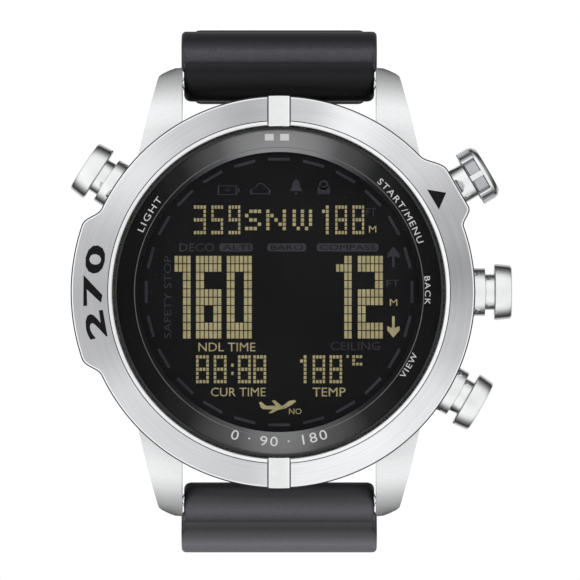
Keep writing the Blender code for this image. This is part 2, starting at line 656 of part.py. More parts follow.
def crown_outline(scale=1.0):
    """The knurled crown's outline: narrow raised bars with wide recessed flats between them."""
    step = 360 / CROWN_BARS
    half = step * CROWN_BAR_SHARE / 2
    low = CAP_RADIUS - CROWN_BAR_HEIGHT
    points = []
    for index in range(CROWN_BARS):
        middle = step * index
        points += [polar(low * scale, middle - half - 2), polar(CAP_RADIUS * scale, middle - half)]
        points += [polar(CAP_RADIUS * scale, middle + half), polar(low * scale, middle + half + 2)]
    return points


def make_crown_button(name, axis):
    start = TUBE_END + CROWN_GAP
    far = start + CROWN_HEIGHT
    core = CAP_RADIUS - CROWN_BAR_HEIGHT - 0.2
    cap = [(0, far), (core - 0.2, far), (core, far - 0.2), (core, start + 0.2), (core - 0.2, start), (HUB_RADIUS, start)]
    button = turned(name, button_profile(cap), POLISHED, steps=20, parent=axis)
    grip = prism(name + "_grip", crown_outline(), start + 0.1, far - CROWN_EDGE / 2, parent=axis, cutter=True)
    rounded(grip, CROWN_EDGE / 2, angle=70)
    shape_with(button, grip, "UNION")
    return button


def make_tube(name, axis):
    bore = STEM_RADIUS + RUN
    profile = [
        (TUBE_COLLAR_RADIUS, TUBE_END), (TUBE_COLLAR_RADIUS, TUBE_COLLAR_START), (TUBE_RADIUS, TUBE_COLLAR_START),
        (TUBE_RADIUS, TUBE_START), (bore, TUBE_START), (bore, SEAL_GROOVE_START),
        (SEAL_GROOVE_RADIUS, SEAL_GROOVE_START), (SEAL_GROOVE_RADIUS, SEAL_GROOVE_END), (bore, SEAL_GROOVE_END),
        (bore, TUBE_WELL_FLOOR), (HUB_RADIUS + FIT, TUBE_WELL_FLOOR), (HUB_RADIUS + FIT, TUBE_END),
    ]
    turned(name, profile, STEEL, closed=True, steps=SMALL, parent=axis)


def make_seal(name, axis):
    inner = STEM_RADIUS + RUN
    outer = SEAL_GROOVE_RADIUS - FIT / 2
    low = SEAL_GROOVE_START + FIT
    high = low + SEAL_WIDTH
    middle = (inner + outer) / 2
    profile = [
        (middle, high), (outer, high - SEAL_WIDTH / 4), (outer, low + SEAL_WIDTH / 4),
        (middle, low), (inner, low + SEAL_WIDTH / 4), (inner, high - SEAL_WIDTH / 4),
    ]
    turned(name, profile, SEAL, closed=True, steps=SMALL, parent=axis)


def make_retainer(name, axis):
    """The snap ring that keeps a pusher's stem in its tube."""
    inner = STEM_RADIUS - RETAINER_GROOVE + RUN
    opening = 50
    count = 14
    angles = [opening + (360 - 2 * opening) * step / count for step in range(count + 1)]
    outline = [polar(RETAINER_RADIUS, angle) for angle in angles]
    outline += [polar(inner, angle) for angle in reversed(angles)]
    prism(name, outline, RETAINER_FRONT - RETAINER_THICKNESS, RETAINER_FRONT, POLISHED, parent=axis)


def make_spring(name, axis):
    """A coil between the tube's well floor and the button's hub."""
    low = TUBE_WELL_FLOOR + FIT + SPRING_WIRE / 2
    high = TUBE_END - HUB_INSIDE - FIT - SPRING_WIRE / 2
    per_turn = 8
    count = SPRING_TURNS * per_turn
    curve = bpy.data.curves.new(name, "CURVE")
    curve.dimensions = "3D"
    curve.bevel_depth = MM * SPRING_WIRE / 2
    curve.bevel_resolution = 1
    curve.use_fill_caps = True
    line = curve.splines.new("POLY")
    line.points.add(count)
    for step, point in enumerate(line.points):
        x, y = polar(SPRING_RADIUS, 360 / per_turn * step)
        point.co = (MM * x, MM * y, MM * (low + (high - low) * step / count), 1)
    curve.materials.append(CELL)
    spring = bpy.data.objects.new(name, curve)
    PARTS.objects.link(spring)
    spring.parent = axis


def make_pushers():
    for name, axis in PUSHER_AXES.items():
        make_button = make_crown_button if name == "start" else make_plain_button
        make_button(name + "_button", axis)
        make_tube(name + "_tube", axis)
        make_spring(name + "_spring", axis)
        make_seal(name + "_seal", axis)
        make_retainer(name + "_clip", axis)


def make_spring_bar(label, side):
    """The bar that carries one strap half, with a sprung tip in each end."""
    bore = TIP_RADIUS + RUN
    end = BAR_HALF_LENGTH
    floor = end - BAR_BORE_DEPTH
    place = {"location": (0, side * BAR_OUT, BAR_DEPTH), "rotation": (0, 90, 0), "parent": CASE}
    profile = [
        (0, floor), (bore, floor), (bore, end), (BAR_RADIUS, end), (BAR_RADIUS, -end), (bore, -end),
        (bore, -floor), (0, -floor),
    ]
    turned("spring_bar_" + label, profile, POLISHED, steps=SMALL, **place)
    flange = LUG_FACE - FIT
    for turn, hand in ((90, "right"), (-90, "left")):
        place["rotation"] = (0, turn, 0)
        tip = [
            (0, LUG_FACE + TIP_REACH), (TIP_RADIUS - 0.1, LUG_FACE + TIP_REACH), (TIP_RADIUS, LUG_FACE + TIP_REACH - 0.1),
            (TIP_RADIUS, flange), (TIP_FLANGE_RADIUS, flange), (TIP_FLANGE_RADIUS, flange - TIP_FLANGE),
            (TIP_RADIUS, flange - TIP_FLANGE), (TIP_RADIUS, flange - TIP_INSIDE), (0, flange - TIP_INSIDE),
        ]
        turned(f"bar_tip_{label}_{hand}", tip, POLISHED, steps=12, **place)


def walk(runs, distance):
    """(out, back, heading) at a distance from the bar along runs of (length, turn in degrees)."""
    out, back, heading = 0.0, 0.0, math.radians(STRAP_START_HEADING)
    if distance < 0:
        return distance * math.cos(heading), distance * math.sin(heading), heading
    for length, turn in runs:
        part = min(distance, length)
        bend = math.radians(turn) * part / length
        if turn:
            radius = length / math.radians(turn)
            out += radius * (math.sin(heading + bend) - math.sin(heading))
            back += radius * (math.cos(heading) - math.cos(heading + bend))
        else:
            out += part * math.cos(heading)
            back += part * math.sin(heading)
        heading += bend
        distance -= part
        if distance <= 0:
            break
    return out, back, heading


def outer_height(distance):
    """How far the strap's outer face stands off its centre line: a barrel, a groove, a rib, then flat."""
    flat = STRAP_HALF_THICKNESS
    if distance < 0:
        return math.sqrt(STRAP_BARREL_RADIUS**2 - distance**2)
    if distance < STRAP_GROOVE:
        return flat + (STRAP_BARREL_RADIUS - flat) * math.sqrt(1 - (distance / STRAP_GROOVE) ** 2)
    half = (STRAP_RIB_END - STRAP_GROOVE) / 2
    share = (distance - STRAP_GROOVE - half) / half
    return flat + STRAP_RIB_RISE * math.sqrt(max(0.0, 1 - share * share))


def inner_height(distance):
    flat = STRAP_HALF_THICKNESS
    if distance < 0:
        return math.sqrt(STRAP_BARREL_RADIUS**2 - distance**2)
    return STRAP_BARREL_RADIUS + (flat - STRAP_BARREL_RADIUS) * smooth(distance / (2 * STRAP_GROOVE))


def strap_half_width(distance, length):
    """Narrow between the lugs, full width at the ribs, then tapering to the free end."""
    between = LUG_FACE - STRAP_SIDE_GAP
    full = STRAP_WIDTH / 2
    if distance < STRAP_RIB_END:
        return between + (full - between) * smooth((distance - 1.5 * STRAP_GROOVE) / 0.8)
    share = (distance - STRAP_RIB_END) / (0.62 * length - STRAP_RIB_END)
    return full + (STRAP_END_WIDTH / 2 - full) * smooth(share)


def strap_section(place, half_width, outer, inner, side):
    """A rounded slab across the strap, as points of the object's own X, Y and Z."""
    out, back, heading = place
    corner = min(STRAP_CORNER, 0.45 * (outer + inner))
    across = []
    for sign_x, sign_n, start in ((1, -1, -90), (1, 1, 0), (-1, 1, 90), (-1, -1, 180)):
        reach = outer if sign_n > 0 else inner
        for turn in (0, 45, 90):
            x, n = polar(corner, start + turn)
            across.append((sign_x * (half_width - corner) + x, sign_n * (reach - corner) + n))
    points = []
    for x, n in across:
        u = out + n * math.sin(heading)
        v = back - n * math.cos(heading)
        points.append((x, v, side * u))
    return points


def loft(sections):
    """A closed solid through sections with the same number of points."""
    bm = bmesh.new()
    rings = [[bm.verts.new(point) for point in section] for section in sections]
    for ring, following in zip(rings, rings[1:]):
        for index in range(len(ring)):
            nearby = (index + 1) % len(ring)
            bm.faces.new((ring[index], ring[nearby], following[nearby], following[index]))
    bm.faces.new(rings[0])
    bm.faces.new(rings[-1])
    bmesh.ops.recalc_face_normals(bm, faces=bm.faces)
    return bm


def strap_length(runs):
    return sum(length for length, _ in runs)


def strap_stations(runs, tail):
    """Distances along the strap: close together at the barrel and ribs and where it bends."""
    barrel = STRAP_BARREL_RADIUS
    stations = [-0.95 * barrel, -0.8 * barrel, -0.5 * barrel, 0.0, 0.4 * STRAP_GROOVE, 0.75 * STRAP_GROOVE, STRAP_GROOVE]
    rib = STRAP_RIB_END - STRAP_GROOVE
    stations += [STRAP_GROOVE + rib * share for share in (0.07, 0.2, 0.4, 0.6, 0.8, 0.93, 1.0)]
    start = 0.0
    for length, turn in runs:
        pieces = max(2, round(abs(turn) / 6)) if turn else max(2, round(length / 14))
        stations += [start + length * step / pieces for step in range(1, pieces + 1)]
        start += length
    kept = []
    for station in sorted(stations):
        if station > tail - 2.2:
            break
        if station <= STRAP_RIB_END or station - kept[-1] > 1.0:
            kept.append(station)
    return kept


def lower_strap_sections(runs, side):
    """The holed half, down to a rounded tip."""
    length = strap_length(runs)
    sections = []
    for station in strap_stations(runs, length - 6):
        width = strap_half_width(station, length)
        sections.append(strap_section(walk(runs, station), width, outer_height(station), inner_height(station), side))
    radius = STRAP_END_WIDTH / 2
    flat = STRAP_HALF_THICKNESS
    for share in (0.0, 0.35, 0.62, 0.82, 0.95, 1.0):
        width = radius * (0.28 + 0.72 * math.sqrt(1 - share * share))
        place = walk(runs, length - 6 * (1 - share))
        sections.append(strap_section(place, width, flat, flat, side))
    return sections


def upper_strap_sections(runs, side):
    """The buckle half, down to the barrel that holds the buckle's bar."""
    length = strap_length(runs)
    sections = []
    for station in strap_stations(runs, length):
        width = strap_half_width(station, length)
        sections.append(strap_section(walk(runs, station), width, outer_height(station), inner_height(station), side))
    barrel = BUCKLE_BARREL_RADIUS
    for share in (-0.6, 0.0, 0.45, 0.75, 0.93):
        height = barrel * math.sqrt(1 - max(share, 0) ** 2)
        out, back, heading = walk(runs, length)
        ahead = share * barrel
        place = (out + ahead * math.cos(heading), back + ahead * math.sin(heading), heading)
        sections.append(strap_section(place, STRAP_END_WIDTH / 2, height, height, side))
    return sections


def strap_hinge(label, side):
    return new_empty(label + "_strap_axis", (0, -BAR_DEPTH, side * BAR_OUT))


def make_strap_half(label, side, sections, hinge):
    strap = new_piece("strap_" + label, loft(sections), RUBBER, parent=hinge)
    half = LUG_FACE + 1
    bore = rod(label + "_bar_bore", BAR_RADIUS + RUN, -half, half, parent=hinge, rotation=(0, 90, 0), cutter=True)
    shape_with(strap, bore)
    return strap


def strap_frame(name, hinge, runs, distance, side):
    """An empty on the strap's centre line: X across, Y onward along the strap, Z square to its faces."""
    out, back, heading = walk(runs, distance)
    turn = 90 - math.degrees(heading) if side > 0 else 90 + math.degrees(heading) - 180
    location = (0, back, side * out)
    return new_empty(name, location, (turn, 0, 0), hinge)


def make_lower_strap():
    hinge = strap_hinge("lower", -1)
    sections = lower_strap_sections(LOWER_RUNS, -1)
    strap = make_strap_half("lower", -1, sections, hinge)
    length = strap_length(LOWER_RUNS)
    outline = []
    straight = (HOLE_LENGTH - HOLE_WIDTH) / 2
    for sign, start in ((1, 0), (-1, 180)):
        for step in range(5):
            x, y = polar(HOLE_WIDTH / 2, start + 45 * step)
            outline.append((x, y + sign * straight))
    for index in range(HOLE_COUNT):
        distance = length - HOLE_FIRST - HOLE_PITCH * index
        frame = strap_frame(f"hole_frame_{index + 1}", hinge, LOWER_RUNS, distance, -1)
        shape_with(strap, prism(f"hole_{index + 1}", outline, -4, 4, parent=frame, cutter=True))


def make_upper_strap():
    hinge = strap_hinge("upper", 1)
    strap = make_strap_half("upper", 1, upper_strap_sections(UPPER_RUNS, 1), hinge)
    length = strap_length(UPPER_RUNS)
    buckle = strap_frame("buckle_axis", hinge, UPPER_RUNS, length, 1)
    half = STRAP_END_WIDTH / 2 + 1
    place = {"rotation": (0, 90, 0), "parent": buckle, "cutter": True}
    shape_with(strap, rod("buckle_bar_bore", BUCKLE_BAR_RADIUS + RUN, -half, half, **place))
    half = TONGUE_WIDTH / 2 + 2 * FIT
    slot = box("tongue_slot", (-half, -TONGUE_SLOT, -5), (half, 4, 5), parent=buckle, cutter=True)
    shape_with(strap, slot)
    make_buckle(buckle)
    make_keeper("keeper_fixed", KEEPER_FIXED_BACK, hinge)
    make_keeper("keeper_sliding", KEEPER_SLIDING_BACK, hinge)


def make_buckle(axis):
    half = BUCKLE_HALF_WIDTH
    inner = half - BUCKLE_ARM
    far = BUCKLE_WINDOW + BUCKLE_FRONT_BAR
    right = [
        (inner, -BUCKLE_HEEL), (half, -BUCKLE_HEEL), (half, far - 2.0), (half - 0.6, far - 0.6), (half - 2.0, far),
    ]
    left = [(-x, y) for x, y in reversed(right)]
    window = [(-inner, BUCKLE_WINDOW - 0.6), (0.6 - inner, BUCKLE_WINDOW)]
    outline = right + left + window + [(-x, y) for x, y in reversed(window)]
    thick = BUCKLE_HALF_THICKNESS
    frame = prism("buckle_frame", outline, -thick, thick, POLISHED, parent=axis)
    rounded(frame, 0.3)
    reach = half - 0.45
    cross = {"rotation": (0, 90, 0), "parent": axis}
    hole = rod("buckle_arm_hole", BUCKLE_BAR_RADIUS + RUN, -reach, reach, cutter=True, **cross)
    shape_with(frame, hole)
    rod("buckle_bar", BUCKLE_BAR_RADIUS, FIT - reach, reach - FIT, POLISHED, **cross)
    make_tongue(axis, far)


def make_tongue(axis, far):
    """The buckle's pin: a barrel on the bar and an arm that rests on the frame's front bar."""
    radius = TONGUE_RADIUS
    barrel = [polar(radius, 80 + 25 * step) for step in range(12)]
    low = BUCKLE_HALF_THICKNESS + FIT
    high = low + TONGUE_THICKNESS
    arm = [(3.6, low - 0.3), (BUCKLE_WINDOW - 1, low), (far - 0.3, low), (far, low + 0.4)]
    arm += [(far - 0.3, high - 0.2), (BUCKLE_WINDOW - 1, high), (3.2, high)]
    half = TONGUE_WIDTH / 2
    # the outline's X and Y become the axis frame's Y and Z
    tongue = prism("buckle_tongue", barrel + arm, -half, half, POLISHED, rotation=(90, 0, 90), parent=axis)
    across = {"rotation": (0, 90, 0), "parent": axis, "cutter": True}
    shape_with(tongue, rod("tongue_bore", BUCKLE_BAR_RADIUS + RUN, -half - 1, half + 1, **across))


def make_keeper(name, back, hinge):
    """A rubber loop round the buckle half, with room above the strap for the other half."""
    distance = strap_length(UPPER_RUNS) - back - KEEPER_LENGTH / 2
    frame = strap_frame(name + "_frame", hinge, UPPER_RUNS, distance, 1)
    inside = strap_half_width(distance, strap_length(UPPER_RUNS)) + KEEPER_SIDE_GAP
    outside = inside + KEEPER_WALL
    floor = -STRAP_HALF_THICKNESS - FIT
    roof = 3 * STRAP_HALF_THICKNESS + KEEPER_HEADROOM
    low = floor - KEEPER_WALL
    high = roof + KEEPER_WALL
    half = KEEPER_LENGTH / 2
    # built flat and turned so that its own Z runs along the strap
    turn = {"rotation": (90, 0, 0), "parent": frame}
    outline = [(-outside, low), (outside, low), (outside, high), (-outside, high)]
    keeper = prism(name, outline, -half, half, RUBBER, **turn)
    rounded(keeper, 0.5, angle=80)
    hollow = [(-inside, floor), (inside, floor), (inside, roof), (-inside, roof)]
    shape_with(keeper, prism(name + "_hollow", hollow, -half - 1, half + 1, cutter=True, **turn))


make_case()
make_bezel()
make_crystal()
make_dial_ring()
make_display()
make_module()
make_battery()
make_sensor()
make_caseback()
make_pushers()
make_spring_bar("upper", 1)
make_spring_bar("lower", -1)
make_lower_strap()
make_upper_strap()
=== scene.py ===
import math

import bmesh
import bpy
from mathutils import Matrix, Vector


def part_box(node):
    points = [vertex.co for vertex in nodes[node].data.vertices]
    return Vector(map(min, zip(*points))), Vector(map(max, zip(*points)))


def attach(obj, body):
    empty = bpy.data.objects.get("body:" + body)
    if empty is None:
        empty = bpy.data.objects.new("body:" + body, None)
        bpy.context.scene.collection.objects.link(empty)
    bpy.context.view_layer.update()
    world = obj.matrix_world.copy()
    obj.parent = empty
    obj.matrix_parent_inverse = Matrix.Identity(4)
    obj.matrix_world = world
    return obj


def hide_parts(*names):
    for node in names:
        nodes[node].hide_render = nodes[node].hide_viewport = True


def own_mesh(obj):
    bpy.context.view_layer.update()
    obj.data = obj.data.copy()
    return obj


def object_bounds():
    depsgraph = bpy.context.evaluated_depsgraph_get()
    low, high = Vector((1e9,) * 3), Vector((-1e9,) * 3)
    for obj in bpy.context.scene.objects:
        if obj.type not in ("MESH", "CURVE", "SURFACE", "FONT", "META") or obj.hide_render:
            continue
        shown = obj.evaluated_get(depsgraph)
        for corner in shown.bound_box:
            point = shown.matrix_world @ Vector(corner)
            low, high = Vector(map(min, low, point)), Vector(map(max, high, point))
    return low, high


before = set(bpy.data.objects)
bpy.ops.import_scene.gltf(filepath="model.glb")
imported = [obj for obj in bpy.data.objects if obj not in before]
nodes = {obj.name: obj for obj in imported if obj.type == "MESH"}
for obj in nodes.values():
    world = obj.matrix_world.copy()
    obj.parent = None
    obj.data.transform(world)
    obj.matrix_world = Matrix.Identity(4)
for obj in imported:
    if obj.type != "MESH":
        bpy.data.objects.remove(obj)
cadLow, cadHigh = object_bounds()
print("frame loaded:", len(nodes), "nodes")

# The dial's own frame, in millimetres: x to 3 o'clock, y to 12 o'clock, z forward through the crystal
dialToWorld = Matrix(((0.001, 0, 0, 0), (0, 0, -0.001, 0), (0, 0.001, 0, 0), (0, 0, 0, 1)))
millimetres = Matrix.Scale(0.001, 4)
crosswise = Matrix.Rotation(math.pi / 2, 4, "Y")
standing = Matrix(((0, 0, 1, 0), (1, 0, 0, 0), (0, 1, 0, 0), (0, 0, 0, 1)))  # x to y, y to z, z to x


def depths(node):  # (back, front) of a CAD node along the dial's axis, in millimetres
    low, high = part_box(node)
    return -1000 * high.y, -1000 * low.y


caseFront = depths("case_body")[1]
bezelBack, bezelFront = depths("bezel")
crystalBack, crystalFront = depths("crystal")
displayBack, displayFront = depths("lcd_panel")


# ---- materials

def linearColour(hexCode):
    channels = [int(hexCode[i:i + 2], 16) / 255 for i in (1, 3, 5)]
    return [c / 12.92 if c < 0.0405 else ((c + 0.055) / 1.055) ** 2.4 for c in channels] + [1.0]


def addNode(tree, kind, settings=None, links=None):
    node = tree.nodes.new("ShaderNode" + kind)
    for key, value in (settings or {}).items():
        if isinstance(key, int) or key in node.inputs:
            node.inputs[key].default_value = value
        else:
            setattr(node, key, value)
    for key, socket in (links or {}).items():
        tree.links.new(socket, node.inputs[key])
    return node


def newMaterial(name):
    material = bpy.data.materials.new(name)
    material.use_nodes = True
    material.node_tree.nodes.clear()
    return material, material.node_tree


def finishMaterial(material, settings, links=None):
    tree = material.node_tree
    shader = addNode(tree, "BsdfPrincipled", settings, links)
    addNode(tree, "OutputMaterial", {}, {"Surface": shader.outputs["BSDF"]})
    return material


def setRamp(ramp, stops):
    elements = ramp.color_ramp.elements
    while len(elements) < len(stops):
        elements.new(0.5)
    for element, (position, colour) in zip(elements, stops):
        element.position = position
        element.color = linearColour(colour) if isinstance(colour, str) else [colour] * 3 + [1.0]
    return ramp


def addRamp(tree, socket, stops):
    return setRamp(addNode(tree, "ValToRGB", {}, {"Fac": socket}), stops)


def addMottle(tree, scale, detail, stops):
    # a cloudy tone on Object coordinates
    place = addNode(tree, "TexCoord")
    noise = addNode(tree, "TexNoise", {"Scale": scale, "Detail": detail}, {"Vector": place.outputs["Object"]})
    return addRamp(tree, noise.outputs["Fac"], stops).outputs["Color"]


def grainMaterial(name, colours, roughness, grain, bump, metallic=0.0, extra=None, paintedShade=None):
    # a fine, even grain on Object coordinates: grain is its size in millimetres, bump its height; the last
    # argument paints shade and highlights: a direction, and the brightness put into the colour at each distance
    # from the middle along it, in millimetres
    material, tree = newMaterial(name)
    place = addNode(tree, "TexCoord")
    noise = addNode(tree, "TexNoise", {"Scale": 1000 / grain, "Detail": 3.0, "Roughness": 0.6},
                    {"Vector": place.outputs["Object"]})
    tone = addRamp(tree, noise.outputs["Fac"], [(0.3, colours[0]), (0.7, colours[1])])
    if paintedShade:
        direction, stops = paintedShade
        low, high = stops[0][0], stops[-1][0]
        ends = addNode(tree, "VectorMath", {"operation": "ABSOLUTE"}, {0: place.outputs["Object"]})
        along = addNode(tree, "VectorMath", {"operation": "DOT_PRODUCT", 1: direction}, {0: ends.outputs["Vector"]})
        share = addNode(tree, "MapRange", {"From Min": low / 1000, "From Max": high / 1000},
                        {"Value": along.outputs["Value"]})
        paintedShading = addRamp(tree, share.outputs["Result"],
                          [((distance - low) / (high - low), brightness) for distance, brightness in stops])
        tone = addNode(tree, "Mix", {"data_type": "RGBA", "blend_type": "MULTIPLY", 0: 1.0},
                       {6: tone.outputs["Color"], 7: paintedShading.outputs["Color"]})
    rough = addNode(tree, "MapRange", {"To Min": roughness[0], "To Max": roughness[1]},
                    {"Value": noise.outputs["Fac"]})
    raised = addNode(tree, "Bump", {"Strength": 1.0, "Distance": bump / 1000}, {"Height": noise.outputs["Fac"]})
    return finishMaterial(material, {"Metallic": metallic, **(extra or {})},
                          {"Base Color": tone.outputs[2 if paintedShade else "Color"], "Roughness": rough.outputs["Result"],
                           "Normal": raised.outputs["Normal"]})


def brushedRoundMaterial(name, colours, roughness, spacing, length, bump, paintedFan):
    # grooves that run round the dial's axis: spacing across them and length along them, in millimetres;
    # the last argument is painted reflection: light and dark sectors put into the colour round the axis,
    # as (degrees from 3 o'clock, brightness)
    material, tree = newMaterial(name)
    place = addNode(tree, "TexCoord")
    flat = addNode(tree, "VectorMath", {"operation": "MULTIPLY", 1: (1, 0, 1)}, {0: place.outputs["Object"]})
    outward = addNode(tree, "VectorMath", {"operation": "NORMALIZE"}, {0: flat.outputs["Vector"]})
    radius = addNode(tree, "VectorMath", {"operation": "LENGTH"}, {0: flat.outputs["Vector"]})
    around = addNode(tree, "VectorMath", {"operation": "SCALE", "Scale": 23 / length}, {0: outward.outputs["Vector"]})
    across = addNode(tree, "Math", {"operation": "MULTIPLY", 1: 1000 / spacing}, {0: radius.outputs["Value"]})
    split = addNode(tree, "SeparateXYZ", {}, {"Vector": around.outputs["Vector"]})
    grooves = addNode(tree, "CombineXYZ", {},
                      {"X": split.outputs["X"], "Y": across.outputs["Value"], "Z": split.outputs["Z"]})
    noise = addNode(tree, "TexNoise", {"Scale": 1.0, "Detail": 3.0, "Roughness": 0.65},
                    {"Vector": grooves.outputs["Vector"]})
    tone = addRamp(tree, noise.outputs["Fac"], [(0.3, colours[0]), (0.7, colours[1])])
    # painted reflection: a brightness for each angle round the axis, multiplied into the colour
    angle = addNode(tree, "Math", {"operation": "ARCTAN2"}, {0: split.outputs["Z"], 1: split.outputs["X"]})
    turn = addNode(tree, "MapRange", {"From Min": -math.pi, "From Max": math.pi}, {"Value": angle.outputs["Value"]})
    paintedFanRamp = addNode(tree, "ValToRGB", {}, {"Fac": turn.outputs["Result"]})
    paintedFanRamp.color_ramp.interpolation = "EASE"
    setRamp(paintedFanRamp, [((degrees + 180) / 360, brightness) for degrees, brightness in paintedFan])
    tone = addNode(tree, "VectorMath", {"operation": "MULTIPLY"},
                   {0: tone.outputs["Color"], 1: paintedFanRamp.outputs["Color"]})
    rough = addNode(tree, "MapRange", {"To Min": roughness[0], "To Max": roughness[1]},
                    {"Value": noise.outputs["Fac"]})
    raised = addNode(tree, "Bump", {"Strength": 1.0, "Distance": bump / 1000}, {"Height": noise.outputs["Fac"]})
    along = addNode(tree, "VectorMath", {"operation": "CROSS_PRODUCT", 1: (0, 1, 0)}, {0: outward.outputs["Vector"]})
    return finishMaterial(material, {"Metallic": 1.0, "Anisotropic": 0.8},
                          {"Base Color": tone.outputs["Vector"], "Roughness": rough.outputs["Result"],
                           "Normal": raised.outputs["Normal"], "Tangent": along.outputs["Vector"]})


# Stainless steel brushed on a turntable: fine rings, and a highlight drawn out across them. Painted reflection:
# bright and dark sectors round the ring are put into its colour. The real grooves are about 0.03 mm apart,
# too fine to show, so they are drawn 0.16 mm apart.
brushedSteel = brushedRoundMaterial(
    "circular_brushed_stainless", ("#e6e7e9", "#f6f6f8"), (0.33, 0.4), 0.16, 9.0, 0.0012,
    [(-180, 0.5), (-165, 0.52), (-145, 0.76), (-121, 0.73), (-101, 0.68), (-82, 0.95), (-60, 1.0), (-36, 0.88),
     (-15, 0.6), (8, 0.38), (22, 0.48), (47, 0.76), (67, 0.99), (82, 0.68), (101, 0.5), (118, 0.66), (140, 0.86),
     (168, 0.54), (180, 0.5)])
# The caseback: the same finish, a little coarser, with painted reflection: darker sectors at 3, 6, 9 and 12 o'clock
brushedBackSteel = brushedRoundMaterial(
    "circular_brushed_back", ("#c6c8ca", "#dedfe1"), (0.28, 0.38), 0.22, 8.0, 0.002,
    [(degrees, 0.6 if degrees % 90 == 0 else 0.9) for degrees in range(-180, 181, 45)])
# Bead-blasted stainless steel: soft and pale, with painted shade across the case and lugs: a fifth darker near the
# middle, and darkening again toward the lug tips where they curve away
satinSteel = grainMaterial("satin_stainless", ("#e6e7e8", "#efeff0"), (0.24, 0.3), 0.25, 0.0001, 1.0,
                           paintedShade=((0.33, 0, 1), [(0, 0.8), (22.5, 0.8), (27.5, 0.95), (30.9, 0.95), (31.6, 0.85),
                                                 (32.3, 0.45)]))
# Buffed stainless steel: sharp reflections with a trace of polishing haze
polishedSteel = grainMaterial("polished_stainless", ("#dedfdf", "#e6e6e7"), (0.07, 0.1), 1.5, 0.00001, 1.0)
# Dark steel for painted shadow lines along edges and in a small groove
paintedShadowEdge = grainMaterial("painted_shadow_edge", ("#47484a", "#535456"), (0.3, 0.4), 0.3, 0.0002, 1.0)
# Steel in the hollows of the knurled button and on the bezel's inner lip: rougher, and darker with painted shade
# so that the bars stand out
paintedShadeSteel = grainMaterial("painted_shade_steel", ("#a6a7aa", "#b3b4b7"), (0.2, 0.28), 0.3, 0.0002, 1.0)
# Drawn spring wire: darker, slightly dull
springWire = grainMaterial("spring_wire", ("#8d8f92", "#a5a7aa"), (0.3, 0.4), 0.2, 0.002, 1.0)
# Nickel-plated steel can: bright with a soft haze
nickelPlate = grainMaterial("nickel_plate", ("#c9c6bd", "#dbd8cf"), (0.2, 0.3), 0.6, 0.001, 1.0)
# Rolled brass sheet, lightly tarnished
sheetBrass = grainMaterial("sheet_brass", ("#b18a45", "#d0aa62"), (0.25, 0.38), 0.5, 0.001, 1.0)
# Liquid silicone moulded in a spark-eroded tool: dark grey-black with a fine even grain and a soft sheen,
# and a painted highlight: a brighter band put into the colour about 28.6 to 31.5 mm from the dial's middle
strapSilicone = grainMaterial("moulded_silicone", ("#36363b", "#4c4c52"), (0.4, 0.5), 0.16, 0.012, 0.0,
                              {"IOR": 1.41, "Specular IOR Level": 0.18},
                              paintedShade=((0, 0, 1), [(0, 0.1), (26.0, 0.05), (27.7, 0.12), (28.6, 0.3), (29.3, 0.55),
                                                 (30.0, 0.7), (30.5, 0.45), (31.5, 0.2), (33.0, 0.15)]))
# The long half: a lighter copy of the same silicone, painted light, with painted highlight bands put into the
# colour about 27.4 and 31.5 mm from the dial's middle
paintedLightSilicone = grainMaterial("moulded_silicone_painted_light", ("#46464b", "#5a5a60"), (0.42, 0.52), 0.16, 0.014, 0.0,
                             {"IOR": 1.41, "Specular IOR Level": 0.45},
                             paintedShade=((0, 0, 1), [(0, 0.2), (26.0, 0.27), (27.4, 0.55), (28.4, 0.3), (29.5, 0.14),
                                                (30.5, 0.45), (31.5, 1.0), (32.2, 0.8), (33.2, 0.3)]))
# Nitrile rubber seal: dull black
sealRubber = grainMaterial("nitrile_rubber", ("#121213", "#1c1c1e"), (0.6, 0.75), 0.1, 0.004)
# Glass-filled nylon moulding: matt black with a fine mould texture
blackNylon = grainMaterial("black_nylon", ("#141416", "#1f1f22"), (0.42, 0.55), 0.12, 0.004)
# Milky acrylic light guide
acrylicGuide = grainMaterial("milky_acrylic", ("#dcdbd2", "#e8e7df"), (0.3, 0.4), 0.5, 0.001)
# Epoxy moulding compound of a chip: near-black, faintly speckled
chipEpoxy = grainMaterial("chip_epoxy", ("#1b1b1c", "#29292b"), (0.4, 0.55), 0.06, 0.003)
# Black enamel wiped into engraved marks: smooth and slightly glossy
inlaidEnamel = grainMaterial("inlaid_black_enamel", ("#070708", "#0b0b0c"), (0.3, 0.4), 0.3, 0.001, 0.0,
                             {"Specular IOR Level": 0.08})
# White ink printed on the ring under the crystal
printedWhite = grainMaterial("printed_white_ink", ("#b6b6b5", "#bebebe"), (0.4, 0.5), 0.1, 0.001)


def circuitBoardMaterial():
    # Green solder mask over copper: tracks show as slightly raised paler lines 0.5 mm apart
    material, tree = newMaterial("solder_mask")
    place = addNode(tree, "TexCoord")
    tracks = addNode(tree, "TexBrick", {"Scale": 160.0, "Mortar Size": 0.03, "Color1": linearColour("#0f5530"),
                                        "Color2": linearColour("#12613a"), "Mortar": linearColour("#3c8a5e")},
                     {"Vector": place.outputs["Object"]})
    raised = addNode(tree, "Bump", {"Strength": 0.6, "Distance": 0.00003}, {"Height": tracks.outputs["Fac"]})
    return finishMaterial(material, {"Roughness": 0.42, "IOR": 1.5},
                          {"Base Color": tracks.outputs["Color"], "Normal": raised.outputs["Normal"]})


